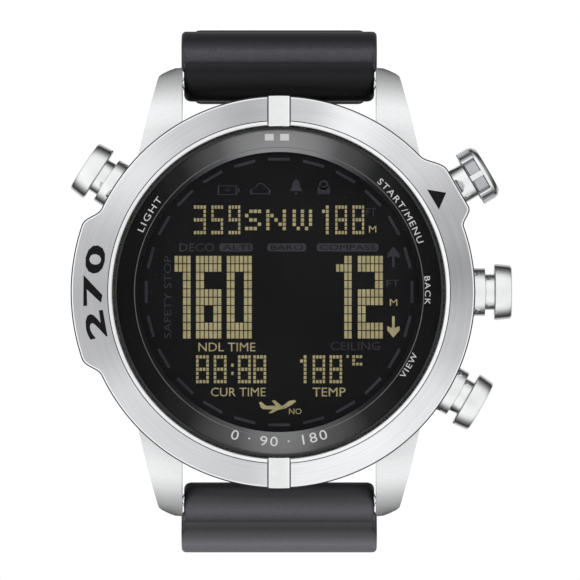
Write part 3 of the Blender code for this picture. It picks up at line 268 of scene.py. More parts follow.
def dialRingMaterial():
    # Black lacquered brass cone, satin, with painted reflection: a grey sheen put into its colour at the top and
    # bottom of the dial
    material, tree = newMaterial("black_lacquer_cone")
    place = addNode(tree, "TexCoord")
    flat = addNode(tree, "VectorMath", {"operation": "MULTIPLY", 1: (1, 0, 1)}, {0: place.outputs["Object"]})
    outward = addNode(tree, "VectorMath", {"operation": "NORMALIZE"}, {0: flat.outputs["Vector"]})
    split = addNode(tree, "SeparateXYZ", {}, {"Vector": outward.outputs["Vector"]})
    lower = addNode(tree, "Math", {"operation": "MULTIPLY", 1: -0.955}, {0: split.outputs["Z"]})
    upright = addNode(tree, "Math", {"operation": "MAXIMUM"}, {0: split.outputs["Z"], 1: lower.outputs["Value"]})
    noise = addNode(tree, "TexNoise", {"Scale": 5000.0, "Detail": 2.0}, {"Vector": place.outputs["Object"]})
    # painted reflection: the colour runs from black at 3 and 9 o'clock to grey at 12 and 6
    tone = addRamp(tree, upright.outputs["Value"],
                   [(0.0, "#0b0b0c"), (0.6, "#111112"), (0.78, "#1e1e1f"), (0.92, "#4b4b4c"), (0.97, "#717172"),
                    (1.0, "#7c7c7d")])
    raised = addNode(tree, "Bump", {"Strength": 1.0, "Distance": 0.000002}, {"Height": noise.outputs["Fac"]})
    return finishMaterial(material, {"Roughness": 0.5, "IOR": 1.45, "Specular IOR Level": 0.1},
                          {"Base Color": tone.outputs["Color"], "Normal": raised.outputs["Normal"]})


def displayMaterial(name, colours, roughness, specular):
    # Liquid-crystal cell under a dark polariser: near-black with the faintest cloudiness
    material, tree = newMaterial(name)
    tone = addMottle(tree, 120.0, 2.0, [(0.35, colours[0]), (0.65, colours[1])])
    return finishMaterial(material, {"Roughness": roughness, "IOR": 1.5, "Specular IOR Level": specular},
                          {"Base Color": tone})


def litCellMaterial():
    # Backlit cells of a negative display: warm khaki, each cell a shade apart from the next
    material, tree = newMaterial("lit_display_cells")
    tone = addMottle(tree, 900.0, 1.0, [(0.35, "#746d50"), (0.65, "#80785a")])
    return finishMaterial(material, {"Roughness": 0.6, "Specular IOR Level": 0.1, "Emission Strength": 0.05},
                          {"Base Color": tone, "Emission Color": tone})


def crystalMaterial():
    # Flat mineral glass with an anti-reflection coat: almost unseen from the front, grey-green at its edge
    material, tree = newMaterial("coated_mineral_glass")
    facing = addNode(tree, "LayerWeight", {"Blend": 0.25})
    cover = addNode(tree, "MapRange", {"To Min": 0.0, "To Max": 0.5}, {"Value": facing.outputs["Facing"]})
    tone = addMottle(tree, 60.0, 2.0, [(0.3, "#0b0d0e"), (0.7, "#101314")])
    return finishMaterial(material, {"Roughness": 0.02, "IOR": 1.5, "Specular IOR Level": 0.06},
                          {"Base Color": tone, "Alpha": cover.outputs["Result"]})


solderMask = circuitBoardMaterial()
coneLacquer = dialRingMaterial()
displayGlass = displayMaterial("dark_polariser", ("#0c0c0d", "#0f0f10"), 0.35, 0.04)
unlitCells = displayMaterial("unlit_display_cells", ("#232327", "#29292d"), 0.5, 0.05)
litCells = litCellMaterial()
crystalGlass = crystalMaterial()
# The thin bare edges of the cone, where the lacquer is cut through to grey metal
unlitRim = grainMaterial("bare_cone_edge", ("#4c4d4f", "#5c5d5f"), (0.35, 0.45), 0.3, 0.001)
print("materials made")


# ---- shared modelling steps

def rounded(bm, edges, offset, segments, clamp=False):
    bmesh.ops.bevel(bm, geom=edges, offset=offset, offset_type="OFFSET", segments=segments, profile=0.5,
                    affect="EDGES", material=-1, clamp_overlap=clamp)


def turned(corners, steps=180, closed=True):
    # corners: (radius, depth, rounding) down the outer side; spun round the dial's axis, then its edges rounded
    bm = bmesh.new()
    points = [bm.verts.new((radius, 0, depth)) for radius, depth, rounding in corners]
    pairs = list(zip(points, points[1:] + points[:1])) if closed else list(zip(points, points[1:]))
    edges = [bm.edges.new(pair) for pair in pairs]
    bmesh.ops.spin(bm, geom=points + edges, cent=(0, 0, 0), axis=(0, 0, 1), angle=2 * math.pi, steps=steps,
                   use_merge=True)
    bmesh.ops.remove_doubles(bm, verts=bm.verts, dist=1e-4)
    bmesh.ops.recalc_face_normals(bm, faces=bm.faces)
    for rounding in sorted({corner[2] for corner in corners} - {0}):
        marks = [corner[:2] for corner in corners if corner[2] == rounding]
        ringEdges = [edge for edge in bm.edges if onRing(edge, marks)]
        rounded(bm, ringEdges, rounding, 2, clamp=True)
    return bm


def onRing(edge, marks):
    first, second = [(math.hypot(vert.co.x, vert.co.y), vert.co.z) for vert in edge.verts]
    if math.dist(first, second) > 2e-3:
        return False
    return any(math.dist(first, mark) < 2e-3 for mark in marks)


def block(low, high, rounding=0.0, segments=2):
    bm = bmesh.new()
    middle = [(a + b) / 2 for a, b in zip(low, high)]
    size = [b - a for a, b in zip(low, high)]
    bmesh.ops.create_cube(bm, size=1.0, matrix=Matrix.Translation(middle) @ Matrix.Diagonal((*size, 1)))
    if rounding:
        rounded(bm, bm.edges[:], rounding, segments)
    return bm


def edgesAlong(bm, axis):
    return [edge for edge in bm.edges if abs(edge.verts[0].co[axis] - edge.verts[1].co[axis]) > 1e-3]


def plate(outline, low, high, rounding=0.0, segments=2):
    # an outline in x and y, drawn out between two depths; rounding rounds the edges of both faces
    bm = bmesh.new()
    base = bm.faces.new([bm.verts.new((x, y, low)) for x, y in outline])
    drawn = bmesh.ops.extrude_face_region(bm, geom=[base])["geom"]
    raised = [item for item in drawn if isinstance(item, bmesh.types.BMVert)]
    bmesh.ops.translate(bm, vec=(0, 0, high - low), verts=raised)
    bmesh.ops.recalc_face_normals(bm, faces=bm.faces)
    if rounding:
        rims = [edge for edge in bm.edges if abs(edge.verts[0].co.z - edge.verts[1].co.z) < 1e-6]
        rounded(bm, rims, rounding, segments)
    return bm


def rod(radius, low, high, steps=32, rounding=0.0):
    return turned([(0, high, 0), (radius, high, rounding), (radius, low, rounding), (0, low, 0)], steps, closed=False)


def moved(bm, matrix):
    bm.transform(matrix)
    return bm


def joined(parts):
    # several bmeshes put into the first one
    whole = parts[0]
    for part in parts[1:]:
        mesh = bpy.data.meshes.new("part")
        part.to_mesh(mesh)
        part.free()
        whole.from_mesh(mesh)
        bpy.data.meshes.remove(mesh)
    return whole


def combined(bm, tools, operation="DIFFERENCE"):
    # an exact Boolean of one bmesh with others, worked on copies
    objects = []
    for index, part in enumerate([bm] + tools):
        mesh = bpy.data.meshes.new(f"blank_{index}")
        part.to_mesh(mesh)
        part.free()
        objects.append(bpy.data.objects.new(mesh.name, mesh))
        bpy.context.scene.collection.objects.link(objects[-1])
    for tool in objects[1:]:
        modifier = objects[0].modifiers.new(tool.name, "BOOLEAN")
        modifier.operation = operation
        modifier.solver = "EXACT"
        modifier.object = tool
    graph = bpy.context.evaluated_depsgraph_get()
    result = bmesh.new()
    result.from_mesh(objects[0].evaluated_get(graph).to_mesh())
    objects[0].evaluated_get(graph).to_mesh_clear()
    for item in objects:
        mesh = item.data
        bpy.data.objects.remove(item)
        bpy.data.meshes.remove(mesh)
    bmesh.ops.remove_doubles(result, verts=result.verts, dist=1e-4)
    return result


def makePiece(name, bm, materials, body="case", stands=(), place=dialToWorld, sharpAngle=32,
              choose=None):
    # choose gives a face's material from its middle and normal, in the frame it was modelled in
    if choose:
        bm.normal_update()
        for face in bm.faces:
            face.material_index = choose(face.calc_center_median(), face.normal)
    bm.transform(place)
    mesh = bpy.data.meshes.new(name)
    bm.to_mesh(mesh)
    bm.free()
    for material in materials:
        mesh.materials.append(material)
    mesh.shade_smooth()
    mesh.set_sharp_from_angle(angle=math.radians(sharpAngle))
    piece = bpy.data.objects.new(name, mesh)
    bpy.context.scene.collection.objects.link(piece)
    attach(piece, body)
    if stands:
        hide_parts(*stands)
    return piece


def polar(radius, degrees):
    return radius * math.cos(math.radians(degrees)), radius * math.sin(math.radians(degrees))


def eased(share):
    share = min(max(share, 0.0), 1.0)
    return share * share * (3 - 2 * share)


def lettering(text, left, bottom, width, height, weight=0.0, thickness=0.03, spacing=1.0):
    # flat letters fitted to a box, as a thin closed solid standing on z = 0
    curve = bpy.data.curves.new("letters", "FONT")
    curve.body = text
    curve.size = 1.0
    curve.offset = weight
    curve.space_character = spacing
    curve.extrude = 0.5
    curve.resolution_u = 3
    holder = bpy.data.objects.new("letters", curve)
    bpy.context.scene.collection.objects.link(holder)
    graph = bpy.context.evaluated_depsgraph_get()
    bm = bmesh.new()
    bm.from_mesh(holder.evaluated_get(graph).to_mesh())
    holder.evaluated_get(graph).to_mesh_clear()
    bpy.data.objects.remove(holder)
    bpy.data.curves.remove(curve)
    bmesh.ops.remove_doubles(bm, verts=bm.verts, dist=1e-5)
    xs = [vert.co.x for vert in bm.verts]
    ys = [vert.co.y for vert in bm.verts]
    stretch = Matrix.Diagonal((width / (max(xs) - min(xs)), height / (max(ys) - min(ys)), thickness, 1))
    bm.transform(Matrix.Translation((left, bottom, thickness / 2)) @ stretch
                 @ Matrix.Translation((-min(xs), -min(ys), 0)))
    return bm


# ---- bezel

bezelSizes = {
    "radius": 24.2, "edge": 0.3,
    "leftGuard": 25.7, "leftHalfAngle": 19, "leftFootAngle": 25,
    "rightGuard": 25.55, "rightAngle": 30, "rightHalfLength": 2.75, "rightUpperFoot": 14, "rightLowerFoot": 10.3,
    "flatInner": 21.12, "step": 20.65, "opening": 20.4, "lipDepth": 0.6, "groove": 0.05,
    "flatMiddle": 22.8, "notchWidth": 2.9, "notchDepth": 0.5, "notchStart": 19.0, "notchEnd": 28.0,
    "notchFillet": 0.4,
    "steps": 360,
}


def bezelRadius(angle):
    s = bezelSizes
    left = abs((angle % 360) - 180)
    if left < s["leftFootAngle"]:
        fall = (left - s["leftHalfAngle"]) / (s["leftFootAngle"] - s["leftHalfAngle"])
        return s["leftGuard"] + (s["radius"] - s["leftGuard"]) * eased(fall)
    off = (angle - s["rightAngle"] + 180) % 360 - 180
    flat = math.degrees(math.atan2(s["rightHalfLength"], s["rightGuard"]))
    foot = s["rightUpperFoot"] if off > 0 else s["rightLowerFoot"]
    if abs(off) > foot:
        return s["radius"]
    if abs(off) <= flat:
        return s["rightGuard"] / math.cos(math.radians(off))
    corner = math.hypot(s["rightGuard"], s["rightHalfLength"])
    return corner + (s["radius"] - corner) * eased((abs(off) - flat) / (foot - flat))


def makeBezel():
    s = bezelSizes
    top, lip = bezelFront, bezelFront - s["lipDepth"]
    middle = lip + 0.55 * s["lipDepth"]
    bm = turned([
        (s["radius"], top, 0), (s["radius"], bezelBack, 0), (s["opening"], bezelBack, 0), (s["opening"], lip, 0),
        (s["step"] - s["groove"], middle - s["groove"], 0), (s["step"], middle - 0.12, 0),
        (s["step"] + s["groove"], middle, 0),
        (s["flatInner"] - s["groove"], top - 0.06, 0), (s["flatInner"], top - 0.12, 0),
        (s["flatInner"] + s["groove"], top, 0), (s["flatMiddle"], top, 0),
    ], s["steps"])
    for vert in bm.verts:
        if math.hypot(vert.co.x, vert.co.y) > s["radius"] - 0.01:
            share = bezelRadius(math.degrees(math.atan2(vert.co.y, vert.co.x))) / s["radius"]
            vert.co.x *= share
            vert.co.y *= share
    outer = [edge for edge in bm.edges
             if all(math.hypot(v.co.x, v.co.y) > s["radius"] - 0.02 for v in edge.verts)
             and abs(edge.verts[0].co.z - edge.verts[1].co.z) < 1e-4]
    rounded(bm, outer, s["edge"], 3)
    cutters = []
    half = s["notchWidth"] / 2
    for side in (1, -1):
        near, far = sorted((side * s["notchStart"], side * s["notchEnd"]))
        floor = bezelFront - s["notchDepth"]
        cutter = block((-half, near, floor), (half, far, bezelFront + 2))
        lowEdges = [edge for edge in cutter.edges if all(abs(v.co.z - floor) < 1e-4 for v in edge.verts)
                    and abs(edge.verts[0].co.x - edge.verts[1].co.x) < 1e-4]
        rounded(cutter, lowEdges, s["notchFillet"], 5)
        cutters.append(cutter)
    bm = combined(bm, cutters)

    def finish(middle, normal):
        radius = math.hypot(middle.x, middle.y)
        inNotch = abs(middle.x) < half + 0.02 and middle.z < top - 0.02 and radius > s["opening"]
        onFlat = normal.z > 0.98 and middle.z > top - 0.02
        if onFlat or (middle.z < top - 1.0 and radius > 23):
            return 0
        # the outer bevel below the edge and the walls of the notches take the dark steel: painted shadow lines
        if radius > 23.5 and 0.05 < normal.z < 0.72 or abs(middle.x) < half + 0.02 and abs(normal.x) > 0.7:
            return 2
        # the small groove round the inside of the flat takes the dark steel too: a painted shadow line
        if abs(radius - s["flatInner"]) < 0.06 and middle.z > lip and not inNotch:
            return 2
        # the inner lip takes the darker steel: painted shade
        return 3 if radius < s["opening"] + 0.16 and middle.z > lip - 0.05 else 1

    return makePiece("bezel_ring", bm, [brushedSteel, polishedSteel, paintedShadowEdge, paintedShadeSteel], stands=["bezel"],
                     choose=finish)


makeBezel()


# ---- engraved marks on the bezel

markSizes = {
    "guardText": "270", "guardRadius": 23.0, "guardLength": 11.6, "guardHeight": 2.45,
    "triangle": ((18.25, 12.63), (20.6, 12.25), (19.7, 10.17)),
    "proud": 0.02, "sunk": 0.15,
}


def makeMarks():
    s = markSizes
    bm = lettering(s["guardText"], -s["guardLength"] / 2, -s["guardHeight"] / 2, s["guardLength"], s["guardHeight"],
                   weight=0.03, thickness=s["proud"] + s["sunk"], spacing=1.15)
    for vert in bm.verts:  # read upwards round the guard, tops outward
        radius = s["guardRadius"] + vert.co.y
        x, y = polar(radius, 180 - math.degrees(vert.co.x / s["guardRadius"]))
        vert.co = (x, y, bezelFront - s["sunk"] + vert.co.z)
    makePiece("depth_scale_numerals", bm, [inlaidEnamel])
    bm = plate(s["triangle"], bezelFront - s["sunk"], bezelFront + s["proud"])
    makePiece("pointer_mark", bm, [inlaidEnamel])


makeMarks()
print("bezel done")


# ---- case middle and lugs

caseSizes = {
    "radius": 23.3, "cavity": 19.6, "recess": 22.3, "backDepth": 1.0, "ledge": 2.2, "edge": 0.3,
    "slopeStart": 20.0, "slopeFall": 5.4, "lugRounding": 0.3,
    "pusherDepth": 6.3, "pusherBore": 2.6,
    "pushers": {"light": 147.0, "start": 30.5, "back": 0.0, "view": -29.7},
    "lugPlan": ((12.05, 19.0), (12.05, 27.9), (12.9, 27.85), (13.6, 27.6), (14.6, 27.1), (14.95, 26.8), (15.15, 26.2),
                (16.3, 21.8), (17.25, 17.8), (17.6, 16.2), (18.4, 14.2), (19.5, 11.0), (15.0, 12.0)),
    "lugFoot": ((11.0, 1.15), (24.0, 1.25), (26.6, 1.85), (28.1, 3.2)),  # (out, depth) along its underside
    "lugRoot": 11.0, "lugTip": 28.1, "lugTop": 10.2, "slopePower": 1.8, "slopeSteps": 16, "lugHeelRounding": 0.9,
    "barOut": 25.9, "barDepth": 4.0, "tipHole": 0.56, "tipReach": 13.35,
    "screwCircle": 20.75, "screwAngles": (45, 135, 225, 315), "thread": 0.76,
}


def pusherPlace(name):
    # the pusher's own z points out from the case's centre
    angle = math.radians(caseSizes["pushers"][name])
    return (Matrix.Translation((0, 0, caseSizes["pusherDepth"])) @ Matrix.Rotation(angle, 4, "Z")
            @ crosswise)


def makeLug(right, upper):
    s = caseSizes
    bm = plate(s["lugPlan"], 0.0, 12.0)
    side = list(s["lugFoot"])
    for step in range(s["slopeSteps"] + 1):  # the slope that shows, falling ever faster to the tip
        share = 1 - step / s["slopeSteps"]
        side.append((s["slopeStart"] + (s["lugTip"] - s["slopeStart"]) * share,
                     s["lugTop"] - s["slopeFall"] * share ** s["slopePower"]))
    side.append((s["lugRoot"], s["lugTop"]))
    slab = plate(side, 5.0, 25.0)
    soft = [edge for edge in edgesAlong(slab, 2) if edge.verts[0].co.x > 22 and edge.verts[0].co.y < 4]
    rounded(slab, soft, s["lugHeelRounding"], 4)
    slab.transform(standing)
    bm = combined(bm, [slab], "INTERSECT")
    bm.normal_update()
    sharp = [edge for edge in bm.edges if edge.is_manifold and edge.calc_face_angle(0) > 0.7
             and min(v.co.y for v in edge.verts) > 15.5]
    rounded(bm, sharp, s["lugRounding"], 3, clamp=True)
    flip = Matrix.Diagonal((1 if right else -1, 1 if upper else -1, 1, 1))
    bm.transform(flip)
    if right != upper:
        bmesh.ops.reverse_faces(bm, faces=bm.faces)
    return bm


def makeCase():
    s = caseSizes
    bm = turned([
        (s["cavity"], caseFront, 0), (s["radius"], caseFront, s["edge"]), (s["radius"], s["backDepth"], s["edge"]),
        (s["recess"], s["backDepth"], 0.08), (s["recess"], s["ledge"], 0), (s["cavity"], s["ledge"], 0),
    ], 200)
    bm = combined(bm, [makeLug(right, upper) for right in (True, False) for upper in (True, False)], "UNION")
    tools = []
    for name in s["pushers"]:
        tools.append(moved(rod(s["pusherBore"], 15.6, 26.0, 40), pusherPlace(name)))
    for side in (1, -1):
        tools.append(moved(rod(s["tipHole"], -s["tipReach"], s["tipReach"], 24),
                           Matrix.Translation((0, side * s["barOut"], s["barDepth"])) @ crosswise))
    for angle in s["screwAngles"]:
        x, y = polar(s["screwCircle"], angle)
        tools.append(moved(rod(s["thread"], 0.5, 4.7, 24), Matrix.Translation((x, y, 0))))
    bm = combined(bm, tools)

    def finish(middle, normal):
        # the rounded outer edges of the lugs take the dark steel: a painted shadow outline
        edge = abs(normal.x) > 0.5 or abs(normal.y) > 0.88
        return 1 if edge and abs(middle.y) > 15.5 and 0.05 < normal.z < 0.85 and middle.z > 2.5 else 0

    return makePiece("case_middle", bm, [satinSteel, paintedShadowEdge], stands=["case_body"],
                     sharpAngle=38, choose=finish)


makeCase()
print("case done")


# ---- crystal, its seal and the printed cone

crystalSizes = {"radius": 20.0, "frontEdge": 0.3, "backEdge": 0.1, "sealInner": 20.05, "sealOuter": 20.35,
                "sealLow": 0.3}
coneSizes = {
    "outer": 20.1, "top": 13.3, "flat": 20.0, "lipOuter": 18.3, "lipInner": 17.35, "grooveAt": 17.9,
    "thickness": 0.02,
}


def makeCrystal():
    s = crystalSizes
    bm = turned([(0, crystalFront, 0), (s["radius"], crystalFront, s["frontEdge"]),
                 (s["radius"], crystalBack, s["backEdge"]), (0, crystalBack, 0)], 240, closed=False)
    makePiece("crystal_glass", bm, [crystalGlass], stands=["crystal"])
    top = crystalFront - s["sealLow"]
    bm = turned([(s["sealInner"], top, 0), (s["sealOuter"], top, 0.06), (s["sealOuter"], crystalBack, 0),
                 (s["sealInner"], crystalBack, 0)], 240)
    makePiece("crystal_seal", bm, [sealRubber], stands=["crystal_gasket"])


def coneDepth(radius):
    s = coneSizes
    share = (radius - s["lipInner"]) / (s["flat"] - s["lipInner"])
    return displayFront + 0.2 + (s["top"] - displayFront - 0.2) * share


def makeCone():
    s = coneSizes
    low = displayFront + 0.1
    near, far = s["grooveAt"] - 0.05, s["grooveAt"] + 0.05
    bm = turned([
        (s["flat"], s["top"], 0), (s["outer"], s["top"], 0), (s["outer"], bezelBack, 0),
        (s["lipOuter"], bezelBack, 0), (s["lipOuter"], low, 0), (s["lipInner"], low, 0),
        (s["lipInner"], low + 0.1, 0),
        (near, coneDepth(near), 0), (far, coneDepth(far), 0),
    ], 240)

    def finish(middle, normal):
        radius = math.hypot(middle.x, middle.y)
        inGroove = abs(radius - s["grooveAt"]) < 0.06 and middle.z > low + 0.3
        return 1 if inGroove or radius < s["lipInner"] + 0.05 else 0

    makePiece("dial_ring_cone", bm, [coneLacquer, unlitRim], stands=["dial_ring"],
              choose=finish)


makeCrystal()
makeCone()

coneLabels = {  # text: angle of its middle, radius of its middle, length, height, reads clockwise
    "LIGHT": (149.0, 18.75, 4.8, 0.78, True),
    "START/MENU": (33.7, 18.55, 9.4, 0.78, True),
    "BACK": (0.6, 18.4, 3.5, 0.7, True),
    "VIEW": (-29.5, 18.48, 3.35, 0.7, False),
    "0 · 90 · 180": (-90.0, 18.5, 12.0, 1.2, False),
}


def makeLabels():
    parts = []
    for text, (angle, radius, length, height, clockwise) in coneLabels.items():
        bm = lettering(text, -length / 2, -height / 2, length, height, thickness=coneSizes["thickness"], spacing=1.2)
        turn = -1 if clockwise else 1
        for vert in bm.verts:
            far = radius - turn * vert.co.y
            x, y = polar(far, angle + turn * math.degrees(vert.co.x / radius))
            vert.co = (x, y, coneDepth(far) + vert.co.z + 0.01)
        parts.append(bm)
    for left in (-1.76, 0.13):  # the two squares at 12 o'clock
        bm = block((left, 18.75, 0), (left + 1.1, 19.55, coneSizes["thickness"]))
        for vert in bm.verts:
            vert.co.z += coneDepth(math.hypot(vert.co.x, vert.co.y)) + 0.01
        parts.append(bm)
    makePiece("cone_labels", joined(parts), [printedWhite])


makeLabels()
print("crystal and cone done")


# ---- display

displaySizes = {"radius": 17.9, "cellHeight": 0.02, "gap": 0.06, "dashRadius": 16.45}

# seven-segment shapes: a top, b upper right, c lower right, d bottom, e lower left, f upper left, g middle
segments = {"0": "abcdef", "2": "abged", "3": "abgcd", "5": "afgcd", "6": "afedcg", "8": "abcdefg",
            "9": "abfgcd", "C": "afed"}


def digitCells(digit, columns, rows, wide=1, tall=1):
    # which cells of a columns x rows grid are lit, counted from the top left
    if digit == "1":  # a stem with a flag
        return {(0, 1)} | {(1, row) for row in range(rows)}
    half = (rows - tall) // 2
    areas = {
        "a": (0, columns, 0, tall), "g": (0, columns, half, half + tall), "d": (0, columns, rows - tall, rows),
        "f": (0, wide, 0, half + tall), "b": (columns - wide, columns, 0, half + tall),
        "e": (0, wide, half, rows), "c": (columns - wide, columns, half, rows),
    }
    lit = set()
    for segment in segments[digit]:
        left, right, top, bottom = areas[segment]
        lit |= {(column, row) for column in range(left, right) for row in range(top, bottom)}
    return lit


def patternCells(lines):
    return {(column, row) for row, line in enumerate(lines) for column, mark in enumerate(line) if mark == "#"}


letterCells = {
    "S": patternCells([".###", "#...", ".##.", "...#", "###."]),
    "N": patternCells(["#...#", "##..#", "#.#.#", "#..##", "#...#"]),
    "W": patternCells(["#.#.#", "#.#.#", "#.#.#", "#.#.#", ".#.#."]),
    "colon": {(0, 2), (0, 4)},
    "degree": {(0, 0)},
}

# characters of cells: (cells, columns, rows, left, right, bottom, top)
cellGroups = []
for digit, left, right in (("3", -10.61, -9.01), ("5", -8.44, -6.89), ("9", -6.31, -4.74)):
    cellGroups.append((digitCells(digit, 4, 7), 4, 7, left, right, 7.10, 10.78))
for letter, columns, left, right in (("S", 4, -4.27, -2.17), ("N", 5, -1.65, 0.9), ("W", 5, 1.62, 4.15)):
    cellGroups.append((letterCells[letter], columns, 5, left, right, 7.60, 10.26))
for digit, columns, left, right in (("1", 2, 5.27, 6.2), ("8", 4, 6.90, 8.46), ("8", 4, 9.03, 10.59)):
    cellGroups.append((digitCells(digit, columns, 7), columns, 7, left, right, 7.10, 10.78))
stemCells = {(column, row) for column in (2, 3) for row in range(10)}
bigOne = {(column, row) for column in (0, 1) for row in (0, 1)} | stemCells
smallOne = {(0, 1), (1, 1)} | stemCells
for cells, columns, left, right in (
    (bigOne, 4, -12.99, -10.91), (digitCells("6", 6, 10, 2, 2), 6, -10.34, -7.10),
    (digitCells("0", 6, 10, 2, 2), 6, -6.53, -3.33), (smallOne, 4, 7.00, 9.04),
    (digitCells("2", 6, 10, 2, 2), 6, 9.69, 12.90),
):
    cellGroups.append((cells, columns, 10, left, right, -5.81, 4.53))
for digit, left, right in (("8", -10.34, -8.65), ("8", -8.15, -6.45), ("8", -5.15, -3.45), ("8", -3.25, -1.55)):
    cellGroups.append((digitCells(digit, 4, 7), 4, 7, left, right, -11.35, -7.78))
cellGroups.append((letterCells["colon"], 1, 7, -5.98, -5.58, -11.35, -7.78))
for digit, columns, left, right in (("1", 2, 2.54, 3.45), ("8", 4, 4.10, 5.75), ("8", 4, 6.20, 7.85)):
    cellGroups.append((digitCells(digit, columns, 7), columns, 7, left, right, -11.35, -7.78))
cellGroups.append((letterCells["degree"], 1, 1, 8.30, 8.68, -8.20, -7.78))
cellGroups.append((digitCells("C", 3, 3), 3, 3, 9.00, 10.35, -9.15, -7.78))

litLabels = {  # text: left, bottom, width, height
    "M": [(11.13, 7.38, 0.90, 0.81), (13.71, -1.71, 0.93, 0.84)],
    "NDL TIME": [(-9.99, -7.34, 7.05, 1.06)],
    "CUR TIME": [(-8.44, -12.92, 6.78, 1.08)],
    "TEMP": [(4.14, -12.92, 4.09, 1.08)],
    "NO": [(1.23, -15.12, 1.55, 0.70)],
}
unlitLabels = {
    "FT": [(10.78, 9.38, 1.25, 1.0), (13.28, 0.63, 1.62, 0.88)],
    "DECO": [(-12.35, 5.02, 4.33, 1.0)],
    "CEILING": [(6.38, -7.20, 6.13, 1.03)],
}
unlitPills = {"ALTI": (-7.40, 5.02, 4.16, 1.01), "BARO": (-1.44, 5.02, 4.81, 1.01),
              "COMPASS": (4.65, 5.02, 7.68, 1.01)}


def cellParts(groups):
    parts = []
    for cells, columns, rows, left, right, bottom, top in groups:
        wide, tall = (right - left) / columns, (top - bottom) / rows
        gap = displaySizes["gap"]
        for column, row in sorted(cells):
            x, y = left + column * wide, top - (row + 1) * tall
            parts.append(block((x + gap, y + gap, 0), (x + wide - gap, y + tall - gap, displaySizes["cellHeight"])))
    return parts


def labelParts(labels):
    return [lettering(text, *place, thickness=displaySizes["cellHeight"]) for text, places in labels.items()
            for place in places]


def arrow(middle, low, high, up):
    # an upright arrow with a stem and a wide open head
    tip, head, half, stem = (high if up else low), (-0.75 if up else 0.75), 0.75, 0.16
    foot, neck, barb, notch = (low if up else high), tip + 1.6 * head, tip + 1.9 * head, tip + 1.2 * head
    outline = [(-stem, foot), (stem, foot), (stem, neck), (half, barb), (half, notch), (0, tip), (-half, notch),
               (-half, barb), (-stem, neck)]
    return plate([(middle + x, y) for x, y in outline], 0, displaySizes["cellHeight"])


def outlined(outline, share):
    # only the border of a shape: share is the hollow's size against the shape's
    depth = displaySizes["cellHeight"]
    middle = [sum(point[axis] for point in outline) / len(outline) for axis in (0, 1)]
    hollow = [(middle[0] + (x - middle[0]) * share, middle[1] + (y - middle[1]) * share) for x, y in outline]
    return combined(plate(outline, 0, depth), [plate(hollow, -1, 1)])


def shapeParts(outlines):
    return [plate(outline, 0, displaySizes["cellHeight"]) for outline in outlines]


def makeDisplay():
    s = displaySizes
    lift = Matrix.Translation((0, 0, displayFront))
    bm = turned([(0, displayFront, 0), (s["radius"], displayFront, 0.05), (s["radius"], displayBack, 0.05),
                 (0, displayBack, 0)], 160, closed=False)
    makePiece("display_cell", bm, [displayGlass], stands=["lcd_panel"])
    parts = cellParts(cellGroups) + labelParts(litLabels)
    parts.append(arrow(14.15, -5.65, -2.99, False))
    plane = [(-2.5, -13.65), (-2.2, -13.6), (-1.6, -14.1), (0.5, -14.05), (1.2, -13.5), (1.9, -13.35), (2.1, -13.55),
             (1.5, -14.0), (0.75, -14.42), (-0.2, -14.62), (-0.9, -15.0), (-1.35, -15.0), (-0.75, -14.55),
             (-2.0, -14.5), (-2.25, -14.3)]
    wing = [(-0.9, -13.45), (-0.55, -13.4), (0.35, -14.1), (-0.35, -14.15)]
    parts += shapeParts([plane, wing])
    makePiece("lit_cells", moved(joined(parts), lift), [litCells])
    parts = labelParts(unlitLabels)
    parts.append(arrow(14.15, 3.1, 5.65, True))
    out = Matrix.Translation((s["dashRadius"], 0, 0))
    for step in range(24):  # short dashes of the compass ring
        dash = block((-0.18, -1.35, 0), (0.18, 1.35, s["cellHeight"]))
        parts.append(moved(dash, Matrix.Rotation(math.radians(15 * step), 4, "Z") @ out))
    side = lettering("SAFETY STOP", -5.1, -0.45, 10.2, 0.9, thickness=s["cellHeight"])
    side.transform(Matrix.Translation((-13.8, -0.6, 0)) @ Matrix.Rotation(math.pi / 2, 4, "Z"))
    parts.append(side)
    # battery, weather, alarm and lock icons
    parts.append(outlined([(-7.6, 13.2), (-5.2, 13.2), (-5.2, 12.0), (-7.6, 12.0)], 0.84))
    parts.append(outlined([(-3.6, 12.1), (-1.1, 12.1), (-1.0, 12.6), (-1.5, 13.0), (-2.0, 13.5), (-2.6, 13.5),
                           (-3.0, 12.9), (-3.6, 12.7)], 0.8))
    parts += shapeParts([
        [(-6.9, 12.5), (-6.4, 12.8), (-6.3, 12.6), (-5.9, 12.7), (-6.4, 12.4), (-6.5, 12.6)],
        [(-5.1, 12.85), (-4.9, 12.85), (-4.9, 12.35), (-5.1, 12.35)],
        [(1.3, 12.5), (2.9, 12.5), (2.6, 13.0), (2.5, 13.6), (2.1, 14.0), (1.7, 13.6), (1.6, 13.0)],
        [(1.9, 12.3), (2.3, 12.3), (2.3, 12.1), (1.9, 12.1)],
        [(4.75, 12.1), (6.3, 12.1), (6.3, 13.1), (4.75, 13.1)],
    ])
    shackle = turned([(0.62, 0, 0), (0.62, s["cellHeight"], 0), (0.38, s["cellHeight"], 0), (0.38, 0, 0)], 24)
    parts.append(moved(shackle, Matrix.Translation((5.52, 13.25, 0))))
    for text, (left, bottom, width, height) in unlitPills.items():
        pill = block((left, bottom, 0), (left + width, bottom + height, s["cellHeight"]))
        rounded(pill, edgesAlong(pill, 2), 0.35, 4)
        parts.append(pill)
    makePiece("unlit_cells", moved(joined(parts), lift), [unlitCells])
    parts = []
    for text, (left, bottom, width, height) in unlitPills.items():
        parts.append(lettering(text, left + 0.4, bottom + 0.18, width - 0.8, height - 0.36, thickness=0.01))
    makePiece("pill_letters", moved(joined(parts), Matrix.Translation((0, 0, displayFront + s["cellHeight"]))),
              [displayGlass])


makeDisplay()
print("display done")


# ---- pushers

